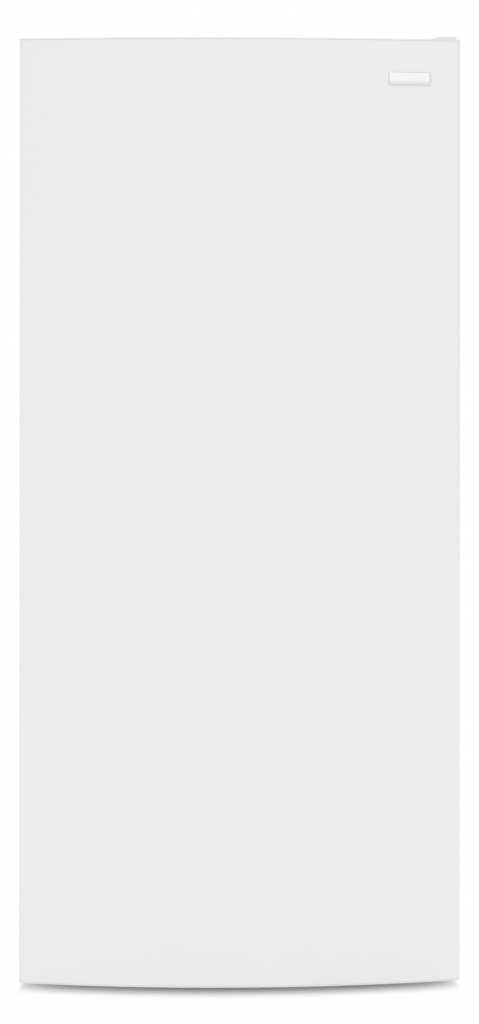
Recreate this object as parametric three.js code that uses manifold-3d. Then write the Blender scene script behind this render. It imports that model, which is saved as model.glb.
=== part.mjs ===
// An upright household freezer: one right-hinged door with a slightly bowed front, glass shelves,
// door bins and a sliding wire basket inside, and a machine bay at the bottom of the back.
//
// Millimetres, +Z up. The front looks along -Y and the floor is z = 0. The origin is on the floor,
// at the middle of the outer width and depth. Two frames are used below:
//   cabinet frame: y = 0 is the cabinet's front face, and y grows towards the back;
//   door frame: y = 0 is the door's back face, z = 0 its bottom edge, and y is negative at the front.

import * as THREE from 'three';
import { mergeVertices } from 'three/addons/utils/BufferGeometryUtils.js';
import Module from 'manifold-3d';

const wasm = await Module();
wasm.setup();

// ---------------------------------------------------------------- driving dimensions

const WIDTH = 711; // outer width of the cabinet and of the door
const CABINET_DEPTH = 647; // front face to the rearmost bead
const CABINET_TOP = 1545; // height above the floor
const CABINET_BOTTOM = 30;
const DOOR_RISE = 12; // the door's top stands this much above the cabinet's
const DOOR_BOTTOM = 40;
const DOOR_EDGE = 48; // thickness of the door at its side edges
const DOOR_BOW = 20; // how far the middle of the front stands out past the edges
const DOOR_CORNER = 8; // rounding of the two upright front edges
const GASKET_GAP = 12; // cabinet face to the door's back

const SIDE_WALL = 62; // outer face to the room inside
const TOP_WALL = 60;
const FLOOR_WALL = 62;
const REAR_WALL = 70;

const STEEL = 0.8; // painted sheet
const HEAVY_STEEL = 1.2; // base pan and sill
const PAN_SIDE = 18; // height of the base pan's side flanges
const PAN_LIP = 14; // and of its rear lip
const PAN_SLOT = { width: 8, length: 50, pitch: 26, count: 6, behindBulkhead: 30 }; // air inlets
const HINGE_STEEL = 3;
const PLASTIC = 2.5; // formed liners and mouldings
const GAP = 0.3; // clearance between pieces that touch
const LOOSE = 2; // clearance of a piece that is lifted out or slides by hand

const BEND_RADIUS = 4; // outer bend of the wrapper
const FACE_FLANGE = 34; // wrapper turned in at the front, for the gasket's magnet
const REAR_FLANGE = 14;
const BEAD_HEIGHT = 3; // stiffening beads on the back
const BEAD_WIDTH = 26;
const BEAD_COUNT = 4;
const BEAD_INSET = 68; // ends of the beads, from the cabinet's sides
const SILL_TOP = 80; // height of the bottom front crossmember
const SILL_DEPTH = 60;

const BAY_DEPTH = 225; // machine bay, from the back
const BAY_TOP = 245;
const HUMP_WALL = 50; // insulation over and in front of the bay

const HINGE_EDGE = 14; // hinge axis to the door's right side
const HINGE_INSET = 25; // hinge axis to the door's back face
const PIN_RADIUS = 4;
const PIN_CLEARANCE = 0.4;
const PIN_ENGAGEMENT = 14; // length of pin inside the door
const HINGE_HALF_WIDTH = 8; // hinge leaf to each side of the pin
const HINGE_WIDTH = 44;
const HINGE_LENGTH = 75; // leaf on the cabinet top
const WASHER_RADIUS = 8;
const WASHER_HEIGHT = 4;

const LEG_RADIUS = 17; // levelling foot
const LEG_STEM = 5;
const LEG_PAD = 6; // thickness of the foot's rim
const LEG_SHOULDER = 10; // top of the foot
const LEG_INSET = 40; // from the cabinet's side and front
const STEM_CLEARANCE = 0.4;
const NUT_RADIUS = 10;
const NUT_HEIGHT = 8;
const STEM_SPARE = 8; // stem above its nut
const ROLLER_RADIUS = 14;
const ROLLER_WIDTH = 16;
const ROLLER_INSET = 60; // from the cabinet's side
const ROLLER_REAR = 70; // from the cabinet's back
const AXLE_RADIUS = 4;

const CAP_FLANGE = 2.5; // door end cap outside the skin
const CAP_DEPTH = 22.5; // whole depth of the end cap
const BOSS_HALF = 11; // hinge boss on each end cap, to each side of the pin
const SKIN_RETURN = 14; // skin turned in behind the door
const LINER_RIM = 9; // door liner around the gasket groove
const RECESS_WIDTH = 58; // hinge recess in the door's top right corner
const RECESS_DEPTH = 14;
const RECESS_FRONT = 5; // rim left standing in front of the recess

const GASKET_INSET = 27; // gasket centre line to the door's edges
const GASKET_WIDTH = 18;
const DART_WIDTH = 3.4;
const DART_DEPTH = 5.5;

const DYKE_CLEARANCE = 20; // door liner's raised frame to the room's walls
const DYKE_WIDTH = 34;
const DYKE_REACH = 52; // past the door's back face
const POCKET_FLOOR = 4;
const LUG_WIDTH = 9;
const LUG_HEIGHT = 12;
const BIN_DEPTH = 104;
const BIN_CORNER = 22;
const BIN_HEIGHTS = [120, 95, 95, 95, 80]; // from the lowest bin up
const BIN_BASE = 12; // lowest bin above the bottom of the liner's pocket
const TOP_BIN_ROOM = 211; // highest bin's floor to the top of the pocket

const HANDLE_BOTTOM = 820; // in the door frame
const HANDLE_LENGTH = 280;
const HANDLE_DEPTH = 32; // into the door's side
const HANDLE_OPENING = 30; // along the door's thickness
const HANDLE_BACK = 12; // material left behind the opening

const BADGE = { width: 69, height: 20.5, thickness: 2, fromSide: 83.5, belowTop: 64.5, edge: 1.4 };

const COVER_HEIGHT = 19; // hinge cover above the cabinet top
const COVER_WALL = 2;
const COVER_SLOPE = 30; // width of the sloping left side
const COVER_SHOULDER = 7; // upright sides, below the rounded top
const COVER_CURVE = 12; // width of the rounded right side

const SHELF_FRONT = 118; // behind the cabinet's face, clear of the door bins
const SHELF_BORDER = 20;
const SHELF_THICKNESS = 12;
const SHELF_NOSE = 3; // the front edge stands out this much forwards and upwards
const SHELF_DROP = 4; // and hangs this much lower between the ledges
const GLASS = 4;
const GLASS_LAP = 6;
const LEDGE_WIDTH = 9;
const LEDGE_HEIGHT = 10;
const FIRST_LEDGE = 35; // above the hump over the machine bay
const TOP_LEDGE_ROOM = 195; // highest ledge to the ceiling
const LEDGE_COUNT = 9;
const SHELF_LEDGES = [0, 3, 6]; // which ledges carry a shelf

const BASKET_RAIL = 264; // top of the ledge that carries the basket
const BASKET_FLOOR_GAP = 14;
const BASKET_WALL = 1.5;
const RIM_WIRE = 5;
const BASKET_SIDE_INSET = 16; // basket's walls to the room's side walls
const HANDLE_PLATE = { width: 150, height: 44, thickness: 5, gripInset: 16, gripHeight: 18, gripDrop: 4 };

const EVAPORATOR_ROOM = 75; // behind the inner back panel
const COIL = { inset: 34, bottom: 70, height: 250, depth: 56, fins: 20, fin: 1.5, spine: 8 };
const HEATER_RADIUS = 4;
const HEATER_END = 20; // heater shorter than the coil, at each end
const TROUGH = { inset: 22, height: 34, wall: 1.5, tubeRadius: 9, tubeWall: 2, drainX: -195, tubeEnd: 30 };
const FAN_BELOW_CEILING = 195;
const VENT = { width: 150, height: 5, pitch: 12, count: 9 };
const RETURN_VENT = { width: 90, height: 6, pitch: 13, count: 4, spacing: 162, aboveHump: 70 };

const FAN = {
  hub: 14, hubLength: 16, hubRound: 3, bore: 3, shaft: 2.5, standOff: 4, // from the motor
  blade: 1.6, chord: 0.55, pitch: 32, count: 5, // chord as a share of the tip radius
};
const MOTOR = { radius: 28, round: 6, length: 24, shaftLength: 17 };
const EVAPORATOR_FAN = 52; // blade tip radius
const CONDENSER_FAN = 70;

const CONTROL = { front: 60, depth: 105, height: 45, windowWidth: 64, windowHeight: 18 };
const DISPLAY = { sunk: 0.5, flange: 3, thickness: 2 };
const FIRST_BUTTON = -60; // x of the leftmost button
const BUTTON_RADIUS = 8;
const BUTTON_PITCH = 34;
const BUTTON_COUNT = 3;
const BUTTON_PROUD = 2;
const PUSH_FLANGE = 2.5; // flange behind the wall: its reach and its thickness
const PUSH_ROUND = 0.8;
const SWITCH_INSET = 58; // from the side of the door liner's raised frame
const SWITCH_RADIUS = 5;
const SWITCH_TRAVEL = 5;
const LAMP = { halfWidth: 95, front: 22, depth: 58, drop: 3, wall: 1.5, lap: 4 };

const COMPRESSOR = { fromSide: 180, behindBulkhead: 108, radius: 80, height: 150, stretch: 1.12, feet: 14 };
const GROMMET = { radius: 9, inset: 14, above: 4 }; // at the foot plate's corners
const STUB = { x: -30, above: 8 }; // suction tube on the compressor's top
const RELAY = { start: 0.75, reach: 26, halfDepth: 26, bottom: 42, top: 104 }; // start: share of the shell
const LINE = { radius: 4, rise: 10, crown: 16, lead: 14, left: 60, belowRoof: 40 };
const FOOT_PLATE = { halfWidth: 98, halfDepth: 62, thickness: 3 };
const CONDENSER = {
  fromSide: 165, run: 68, passes: 4, pitch: 56, layers: 3, layerPitch: 34, tube: 3.2,
  plate: 2, plateInset: 8, border: 10,
};
const CONDENSER_LIFT = 44; // lowest tube above the base pan
const DRAIN_PAN = { halfWidth: 108, height: 30, wall: 2 };
const SHROUD = { x: 2, halfDepth: 92, thickness: 1.2, bar: 12 };
const GLAND = { fromSide: 56, abovePan: 44, bore: 4.5, neck: 9, flange: 13, flangeThickness: 2.4 };
const LOUVRE = { width: 150, height: 6, pitch: 20, count: 7, columns: 3, columnPitch: 185 };

// ---------------------------------------------------------------- sizes that follow

const halfWidth = WIDTH / 2;
const doorHeight = CABINET_TOP + DOOR_RISE - DOOR_BOTTOM;
const overallDepth = DOOR_BOW + DOOR_EDGE + GASKET_GAP + CABINET_DEPTH;
const cabinetFrontY = overallDepth / 2 - CABINET_DEPTH;
const fitHalf = halfWidth - STEEL - GAP; // half width of what fits inside the wrapper
const backFace = CABINET_DEPTH - BEAD_HEIGHT;
const backInside = backFace - STEEL - GAP;
const rearFlangeFront = backInside - STEEL;
const panTop = CABINET_BOTTOM + HEAVY_STEEL;

const roomHalf = halfWidth - SIDE_WALL;
const roomFloor = CABINET_BOTTOM + FLOOR_WALL;
const roomTop = CABINET_TOP - TOP_WALL;
const roomBack = CABINET_DEPTH - REAR_WALL;
const bayFront = CABINET_DEPTH - BAY_DEPTH;
const humpFront = bayFront - HUMP_WALL;
const humpTop = BAY_TOP + HUMP_WALL;
const compressorX = halfWidth - COMPRESSOR.fromSide;
const condenserX = CONDENSER.fromSide - halfWidth;
const glandX = halfWidth - GLAND.fromSide;
const glandZ = panTop + GLAND.abovePan;
const coverFace = roomBack - EVAPORATOR_ROOM;
const coverInside = coverFace + PLASTIC;
const fanHeight = roomTop - FAN_BELOW_CEILING;

const badgeX = halfWidth - BADGE.fromSide;
const hingeX = halfWidth - HINGE_EDGE;
const hingeY = -GASKET_GAP - HINGE_INSET; // in the cabinet frame
const leafBottom = CABINET_TOP + GAP;
const legX = halfWidth - LEG_INSET;
const dykeHalf = roomHalf - DYKE_CLEARANCE;
const dykeBottom = roomFloor - DOOR_BOTTOM + DYKE_CLEARANCE;
const dykeTop = roomTop - DOOR_BOTTOM - DYKE_CLEARANCE;
const pocketHalf = dykeHalf - DYKE_WIDTH;
const bossReach = CAP_DEPTH + PIN_ENGAGEMENT; // from the door's end to the boss's end
const switchX = dykeHalf - SWITCH_INSET;
const pocketBottom = dykeBottom + DYKE_WIDTH;
const pocketTop = dykeTop - DYKE_WIDTH;

const firstLedge = humpTop + FIRST_LEDGE;
const ledgePitch = (roomTop - TOP_LEDGE_ROOM - firstLedge) / (LEDGE_COUNT - 1);
const ledgeTop = (index) => firstLedge + index * ledgePitch;
const firstBin = pocketBottom + BIN_BASE;
const binPitch = (pocketTop - TOP_BIN_ROOM - firstBin) / (BIN_HEIGHTS.length - 1);
const binLevels = BIN_HEIGHTS.map((_, i) => firstBin + i * binPitch);

// ---------------------------------------------------------------- solids and how they join

const X = new THREE.Vector3(1, 0, 0);
const Y = new THREE.Vector3(0, 1, 0);
const Z = new THREE.Vector3(0, 0, 1);

function solidOf(geometry) {
  const bare = new THREE.BufferGeometry();
  bare.setAttribute('position', geometry.getAttribute('position'));
  bare.setIndex(geometry.getIndex());
  const merged = mergeVertices(bare, 1e-4);
  return new wasm.Manifold(new wasm.Mesh({
    numProp: 3,
    vertProperties: merged.getAttribute('position').array,
    triVerts: new Uint32Array(merged.getIndex().array),
  }));
}

function geometryOf(solid) {
  const { vertProperties, triVerts } = solid.getMesh();
  const indexed = new THREE.BufferGeometry();
  indexed.setAttribute('position', new THREE.BufferAttribute(vertProperties, 3));
  indexed.setIndex(new THREE.BufferAttribute(triVerts, 1));
  const flat = indexed.toNonIndexed();
  flat.computeVertexNormals();
  return flat;
}

const join = (...solids) => solids.reduce((all, one) => all.add(one));
const cut = (solid, ...tools) => tools.reduce((left, tool) => left.subtract(tool), solid);
const range = (count) => Array.from({ length: count }, (_, i) => i);
const both = (half) => [-half, half];
const around = (middle, half) => [middle - half, middle + half];
const spread = (count, pitch) => range(count).map((i) => (i - (count - 1) / 2) * pitch);

// A box from its limits along X, Y and Z.
function slab([x0, x1], [y0, y1], [z0, z1]) {
  const box = new THREE.BoxGeometry(x1 - x0, y1 - y0, z1 - z0);
  return solidOf(box.translate((x0 + x1) / 2, (y0 + y1) / 2, (z0 + z1) / 2));
}

// The same box on both sides of the middle plane: x is given for the right one.
const pair = ([x0, x1], y, z) => [slab([x0, x1], y, z), slab([-x1, -x0], y, z)];

// An outline pushed along an axis: (x, y) along Z, (y, z) along X, or (x, z) along Y.
function prism(shape, axis, [from, to], curveSegments = 8) {
  const depth = to - from;
  const geometry = new THREE.ExtrudeGeometry(shape, { depth, bevelEnabled: false, curveSegments });
  const place = new THREE.Matrix4();
  if (axis === 'x') place.makeBasis(Y, Z, X).setPosition(from, 0, 0);
  if (axis === 'y') place.makeBasis(X, Z, Y.clone().negate()).setPosition(0, to, 0);
  if (axis === 'z') place.setPosition(0, 0, from);
  return solidOf(geometry.applyMatrix4(place));
}

const polygon = (points) => new THREE.Shape(points.map(([u, v]) => new THREE.Vector2(u, v)));

// A turned piece about Z, from [radius, height] points that run up its outside.
function spun(profile, segments = 20) {
  const points = profile.map(([radius, height]) => new THREE.Vector2(radius, height));
  return solidOf(new THREE.LatheGeometry(points, segments).rotateX(Math.PI / 2));
}

// A round bar between two points.
function rod(from, to, radius, segments = 16) {
  const a = new THREE.Vector3(...from);
  const along = new THREE.Vector3(...to).sub(a);
  const bar = new THREE.CylinderGeometry(radius, radius, along.length(), segments);
  bar.translate(0, along.length() / 2, 0);
  bar.applyQuaternion(new THREE.Quaternion().setFromUnitVectors(Y, along.clone().normalize()));
  return solidOf(bar.translate(a.x, a.y, a.z));
}

// A round tube, drawn solid, through points of its middle line.
class Route extends THREE.Curve {
  constructor(points) {
    super();
    this.points = points;
  }

  getPoint(t, target = new THREE.Vector3()) {
    const last = this.points.length - 1;
    const index = Math.min(Math.floor(t * last), last - 1);
    return target.lerpVectors(this.points[index], this.points[index + 1], t * last - index);
  }

  // Steps follow the points themselves, so that straight runs take one step each.
  getUtoTmapping(u) {
    return u;
  }
}

function pipe(points, radius, sides = 8) {
  const section = polygon(range(sides).map((i) => {
    const angle = (i / sides) * 2 * Math.PI;
    return [radius * Math.cos(angle), radius * Math.sin(angle)];
  }));
  const extrudePath = new Route(points);
  return solidOf(new THREE.ExtrudeGeometry(
    section, { steps: points.length - 1, extrudePath, bevelEnabled: false },
  ));
}

// Points of a half circle, from centre + start over centre + top to centre - start.
function bend(centre, start, top, steps = 4) {
  return range(steps + 1).map((i) => centre.clone()
    .addScaledVector(start, Math.cos((i / steps) * Math.PI))
    .addScaledVector(top, Math.sin((i / steps) * Math.PI)));
}

// ---------------------------------------------------------------- finishes

const finish = (color, roughness, metalness = 0) =>
  new THREE.MeshStandardMaterial({ color, roughness, metalness });
const enamel = finish(0xeceeed, 0.32);
const liner = finish(0xf1f3f3, 0.38);
const whitePlastic = finish(0xeef0ef, 0.42);
const binPlastic = finish(0xe9eef0, 0.25);
const gasketRubber = finish(0xd8dadb, 0.7);
const foam = finish(0xe6d6a4, 0.95);
const glass = finish(0xcfe0dc, 0.06);
const coatedWire = finish(0xf4f5f5, 0.35);
const zincSteel = finish(0xa9adb0, 0.38, 0.9);
const backSteel = finish(0xb9bdbf, 0.45, 0.6);
const blackSteel = finish(0x17181a, 0.45, 0.3);
const blackPlastic = finish(0x1d1e20, 0.55);
const greyPlastic = finish(0x8d9193, 0.5);
const aluminium = finish(0xc9ccce, 0.35, 0.9);
const copper = finish(0xb5714b, 0.3, 1);
const badgeMetal = finish(0xf2f3f4, 0.25, 0.4);
const displayGlass = finish(0x22262a, 0.12);

function add(group, name, solid, look, position = [0, 0, 0], rotation = [0, 0, 0]) {
  const mesh = new THREE.Mesh(geometryOf(solid), look.clone());
  mesh.name = name;
  mesh.position.set(...position);
  mesh.rotation.set(...rotation);
  group.add(mesh);
}

function frameAt(parent, position, rotation = [0, 0, 0]) {
  const group = new THREE.Group();
  group.position.set(...position);
  group.rotation.set(...rotation);
  parent.add(group);
  return group;
}

// ---------------------------------------------------------------- cabinet casing

// The cabinet's outline seen from the front: straight sides, rounded upper corners, open below.
function archPath(path, inset, bottom) {
  const half = halfWidth - inset;
  const top = CABINET_TOP - inset;
  const radius = Math.max(BEND_RADIUS - inset, GAP);
  path.moveTo(-half, bottom);
  path.lineTo(-half, top - radius);
  path.absarc(-half + radius, top - radius, radius, Math.PI, Math.PI / 2, true);
  path.absarc(half - radius, top - radius, radius, Math.PI / 2, 0, true);
  path.lineTo(half, bottom);
  return path;
}

const archFill = (inset, bottom, y) => prism(archPath(new THREE.Shape(), inset, bottom), 'y', y, 3);

// One sheet folded to an arch, with flanges turned in around the front and near the back.
function cabinetWrapper() {
  const below = CABINET_BOTTOM - 1;
  return cut(
    archFill(0, CABINET_BOTTOM, [0, backFace]),
    archFill(FACE_FLANGE, below, [-1, STEEL + 1]),
    archFill(STEEL, below, [STEEL, rearFlangeFront]),
    archFill(REAR_FLANGE, below, [rearFlangeFront - 1, backInside + 1]),
    archFill(STEEL, below, [backInside, backFace + 1]),
  );
}

function frontSill() {
  const face = slab(both(halfWidth - FACE_FLANGE - GAP), [0, HEAVY_STEEL], [CABINET_BOTTOM, SILL_TOP]);
  const lip = slab(both(fitHalf), [STEEL + GAP, SILL_DEPTH], [CABINET_BOTTOM, panTop]);
  const nuts = [-legX, legX].map((x) => slab(
    around(x, NUT_RADIUS), around(LEG_INSET, NUT_RADIUS), [CABINET_BOTTOM, panTop + NUT_HEIGHT],
  ));
  const holes = [-legX, legX].map((x) => rod(
    [x, LEG_INSET, 0], [x, LEG_INSET, SILL_TOP], LEG_STEM + STEM_CLEARANCE, 24,
  ));
  return cut(join(face, lip, ...nuts), ...holes);
}

function basePan() {
  const rear = rearFlangeFront - GAP;
  const floor = slab(both(fitHalf), [SILL_DEPTH + GAP, rear], [CABINET_BOTTOM, panTop]);
  const railStart = bayFront + STEEL + GAP;
  const rails = pair(
    [fitHalf - HEAVY_STEEL, fitHalf], [railStart, rear], [CABINET_BOTTOM, panTop + PAN_SIDE],
  );
  const rearLip = slab(both(fitHalf), [rear - HEAVY_STEEL, rear], [CABINET_BOTTOM, panTop + PAN_LIP]);
  const slotStart = bayFront + PAN_SLOT.behindBulkhead;
  const inlets = spread(PAN_SLOT.count, PAN_SLOT.pitch).map((x) => slab(
    around(condenserX + x, PAN_SLOT.width / 2), [slotStart, slotStart + PAN_SLOT.length], [0, SILL_TOP],
  ));
  return cut(join(floor, ...rails, rearLip), ...inlets);
}

function backPanel() {
  const panel = archFill(STEEL + GAP, BAY_TOP, [backFace - STEEL, backFace]);
  const pitch = (CABINET_TOP - BAY_TOP) / BEAD_COUNT;
  const beads = spread(BEAD_COUNT, pitch).map((z) => slab(
    both(halfWidth - BEAD_INSET), [backFace - STEEL / 2, CABINET_DEPTH],
    around((BAY_TOP + CABINET_TOP) / 2 + z, BEAD_WIDTH / 2),
  ));
  return join(panel, ...beads);
}

// The room inside, as a block that is `grow` larger than the liner's inner face.
function roomBlock(grow, front) {
  const profile = polygon([
    [front, roomFloor - grow],
    [humpFront + grow, roomFloor - grow],
    [humpFront + grow, humpTop - grow],
    [roomBack + grow, humpTop - grow],
    [roomBack + grow, roomTop + grow],
    [front, roomTop + grow],
  ]);
  return prism(profile, 'x', both(roomHalf + grow));
}

const drainY = (coverInside + roomBack) / 2;
const drainHole = (radius) => rod(
  [TROUGH.drainX, drainY, BAY_TOP - TROUGH.height],
  [TROUGH.drainX, drainY, humpTop + TROUGH.height], radius, 20,
);

function cabinetLiner() {
  const flange = slab(
    both(halfWidth - FACE_FLANGE - GAP), [0, PLASTIC], [SILL_TOP + GAP, CABINET_TOP - FACE_FLANGE - GAP],
  );
  const shell = cut(join(flange, roomBlock(PLASTIC, 0)), roomBlock(0, -1));
  const side = [roomHalf - LEDGE_WIDTH, roomHalf + PLASTIC / 2];
  const ledges = range(LEDGE_COUNT).flatMap((i) => pair(
    side, [SHELF_FRONT + LOOSE, coverFace - LOOSE], [ledgeTop(i) - LEDGE_HEIGHT, ledgeTop(i)],
  ));
  const railY = [SHELF_FRONT, humpFront + PLASTIC / 2];
  const rails = pair(side, railY, [BASKET_RAIL - LEDGE_HEIGHT, BASKET_RAIL]);
  return cut(join(shell, ...ledges, ...rails), drainHole(TROUGH.tubeRadius + GAP));
}

function cabinetFoam() {
  const block = archFill(STEEL + GAP, panTop + GAP, [PLASTIC + GAP, rearFlangeFront - GAP]);
  const bay = slab(both(WIDTH), [bayFront - GAP, CABINET_DEPTH], [0, BAY_TOP + STEEL + GAP]);
  const pockets = [-legX, legX].map((x) => slab(
    around(x, LEG_RADIUS), [0, LEG_INSET + LEG_RADIUS], [0, panTop + NUT_HEIGHT + LEG_RADIUS],
  ));
  return cut(block, roomBlock(PLASTIC + GAP, 0), bay, ...pockets, drainHole(TROUGH.tubeRadius + 2 * GAP));
}

function bayBulkhead() {
  const roof = slab(both(fitHalf), [bayFront, rearFlangeFront - GAP], [BAY_TOP, BAY_TOP + STEEL]);
  const wall = slab(both(fitHalf), [bayFront, bayFront + STEEL], [panTop + GAP, BAY_TOP + STEEL]);
  return cut(join(roof, wall), drainHole(TROUGH.tubeRadius + 2 * GAP));
}

function rearAccessCover() {
  const bottom = panTop + GAP;
  const top = BAY_TOP - GAP;
  const plate = slab(both(fitHalf), [backFace - STEEL, backFace], [bottom, top]);
  const slots = spread(LOUVRE.columns, LOUVRE.columnPitch).flatMap((x) =>
    spread(LOUVRE.count, LOUVRE.pitch).map((z) => slab(
      around(x, LOUVRE.width / 2), [0, CABINET_DEPTH], around((bottom + top) / 2 + z, LOUVRE.height / 2),
    )));
  const hole = rod([glandX, 0, glandZ], [glandX, CABINET_DEPTH, glandZ], GLAND.neck + GAP, 20);
  return cut(plate, ...slots, hole);
}

// A snap-in bush for the mains lead: a neck between two flanges, about Z.
const cordGland = () => spun([
  [GLAND.bore, -GLAND.flangeThickness],
  [GLAND.flange, -GLAND.flangeThickness],
  [GLAND.flange, 0],
  [GLAND.neck, 0],
  [GLAND.neck, STEEL + 2 * GAP],
  [GLAND.flange, STEEL + 2 * GAP],
  [GLAND.flange, STEEL + 2 * GAP + GLAND.flangeThickness],
  [GLAND.bore, STEEL + 2 * GAP + GLAND.flangeThickness],
  [GLAND.bore, -GLAND.flangeThickness],
], 20);

// ---------------------------------------------------------------- feet and rollers

function levellingLeg() {
  const top = panTop + NUT_HEIGHT + STEM_SPARE;
  return spun([
    [0, 0], [LEG_RADIUS, 0], [LEG_RADIUS, LEG_PAD], [NUT_RADIUS, LEG_SHOULDER],
    [LEG_STEM, LEG_SHOULDER], [LEG_STEM, top], [0, top],
  ]);
}

function rollerBracket() {
  const inner = ROLLER_WIDTH / 2 + 2 * GAP;
  const top = CABINET_BOTTOM - GAP - ROLLER_RADIUS; // above the axle
  const ears = pair([inner, inner + HEAVY_STEEL], both(ROLLER_RADIUS), [-AXLE_RADIUS * 2, top]);
  const flanges = pair([inner, inner + ROLLER_RADIUS], both(ROLLER_RADIUS), [top - HEAVY_STEEL, top]);
  const reach = inner + 2 * HEAVY_STEEL;
  return join(...ears, ...flanges, rod([-reach, 0, 0], [reach, 0, 0], AXLE_RADIUS));
}

const roller = () => cut(
  rod([-ROLLER_WIDTH / 2, 0, 0], [ROLLER_WIDTH / 2, 0, 0], ROLLER_RADIUS, 28),
  rod([-ROLLER_WIDTH, 0, 0], [ROLLER_WIDTH, 0, 0], AXLE_RADIUS + GAP),
);

// ---------------------------------------------------------------- hinges

// A leaf seen from above: a round nose about the pin, straight back from there.
function leafShape(leftWidth, length) {
  const shape = new THREE.Shape();
  const left = HINGE_HALF_WIDTH - leftWidth;
  shape.moveTo(hingeX + HINGE_HALF_WIDTH, length);
  shape.lineTo(hingeX + left, length);
  shape.lineTo(hingeX + left, hingeY / 2);
  shape.lineTo(hingeX - HINGE_HALF_WIDTH, hingeY);
  shape.absarc(hingeX, hingeY, HINGE_HALF_WIDTH, Math.PI, 2 * Math.PI, false);
  return shape;
}

function topHingePlate() {
  const leaf = prism(leafShape(HINGE_WIDTH, HINGE_LENGTH), 'z', [leafBottom, leafBottom + HINGE_STEEL], 6);
  const pinEnd = DOOR_BOTTOM + doorHeight - RECESS_DEPTH - PIN_ENGAGEMENT;
  return join(leaf, rod([hingeX, hingeY, pinEnd], [hingeX, hingeY, leafBottom + HINGE_STEEL], PIN_RADIUS));
}

// The cover seen from the front: a long slope on the left, a short round shoulder on the right.
function coverShape(inset) {
  const left = hingeX + HINGE_HALF_WIDTH - HINGE_WIDTH - COVER_WALL - 2 * GAP + inset;
  const right = hingeX + HINGE_HALF_WIDTH + COVER_WALL - inset;
  const top = leafBottom + COVER_HEIGHT - GAP - inset;
  const shoulder = leafBottom + COVER_SHOULDER;
  const shape = new THREE.Shape();
  shape.moveTo(left, leafBottom - (inset ? 1 : 0));
  shape.lineTo(left, shoulder);
  shape.quadraticCurveTo(left + COVER_SLOPE / 3, top, left + COVER_SLOPE, top);
  shape.lineTo(right - COVER_CURVE, top);
  shape.quadraticCurveTo(right, top, right, shoulder);
  shape.lineTo(right, leafBottom - (inset ? 1 : 0));
  return shape;
}

function topHingeCover() {
  const front = hingeY - HINGE_HALF_WIDTH - 2 * COVER_WALL;
  const back = HINGE_LENGTH + 3 * COVER_WALL;
  const outside = prism(coverShape(0), 'y', [front, back], 5);
  return cut(outside, prism(coverShape(COVER_WALL), 'y', [front + COVER_WALL, back - COVER_WALL], 5));
}

function bottomHingeBracket() {
  const plateTop = DOOR_BOTTOM - GAP - WASHER_HEIGHT;
  const plateBottom = plateTop - HINGE_STEEL;
  const plate = prism(leafShape(HINGE_WIDTH, -GAP), 'z', [plateBottom, plateTop], 6);
  const upright = slab(
    [hingeX + HINGE_HALF_WIDTH - HINGE_WIDTH, hingeX + HINGE_HALF_WIDTH], [-GAP - HINGE_STEEL, -GAP],
    [plateBottom, DOOR_BOTTOM + GASKET_INSET - GASKET_WIDTH / 2 - LOOSE],
  );
  const upwards = (top, radius) => rod([hingeX, hingeY, plateBottom], [hingeX, hingeY, top], radius);
  const washer = upwards(DOOR_BOTTOM - GAP, WASHER_RADIUS);
  const pin = upwards(DOOR_BOTTOM + PIN_ENGAGEMENT, PIN_RADIUS);
  return join(plate, upright, washer, pin);
}

// ---------------------------------------------------------------- machine bay

function compressorShell(grow) {
  const { radius: r, height: h } = COMPRESSOR;
  const profile = [
    [0, -grow], [0.72 * r, -grow], [0.94 * r + grow, 0.1 * h], [r + grow, 0.45 * h],
    [r + grow, 0.55 * h], [0.92 * r + grow, 0.82 * h], [0.6 * r, 0.97 * h + grow], [0, h + grow],
  ];
  const points = profile.map(([radius, height]) => new THREE.Vector2(radius, height));
  const geometry = new THREE.LatheGeometry(points, 28).rotateX(Math.PI / 2);
  return solidOf(geometry.scale(COMPRESSOR.stretch, 1, 1));
}

// The motor-compressor with its foot plate and the four grommets it stands on.
function compressor() {
  const { halfWidth: w, halfDepth: d, thickness } = FOOT_PLATE;
  const plate = slab(both(w), both(d), [-thickness, 1]);
  const grommets = [-1, 1].flatMap((i) => [-1, 1].map((j) => {
    const at = [i * (w - GROMMET.inset), j * (d - GROMMET.inset)];
    return rod([...at, -COMPRESSOR.feet], [...at, GROMMET.above], GROMMET.radius);
  }));
  const stubTop = COMPRESSOR.height + STUB.above;
  const stub = rod([STUB.x, 0, COMPRESSOR.height / 2], [STUB.x, 0, stubTop], LINE.radius);
  return join(compressorShell(0), plate, ...grommets, stub);
}

function relayCover() {
  const reach = COMPRESSOR.radius * COMPRESSOR.stretch;
  const x = [reach * RELAY.start, reach + RELAY.reach];
  const box = slab(x, both(RELAY.halfDepth), [RELAY.bottom, RELAY.top]);
  return cut(box, compressorShell(GAP));
}

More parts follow.
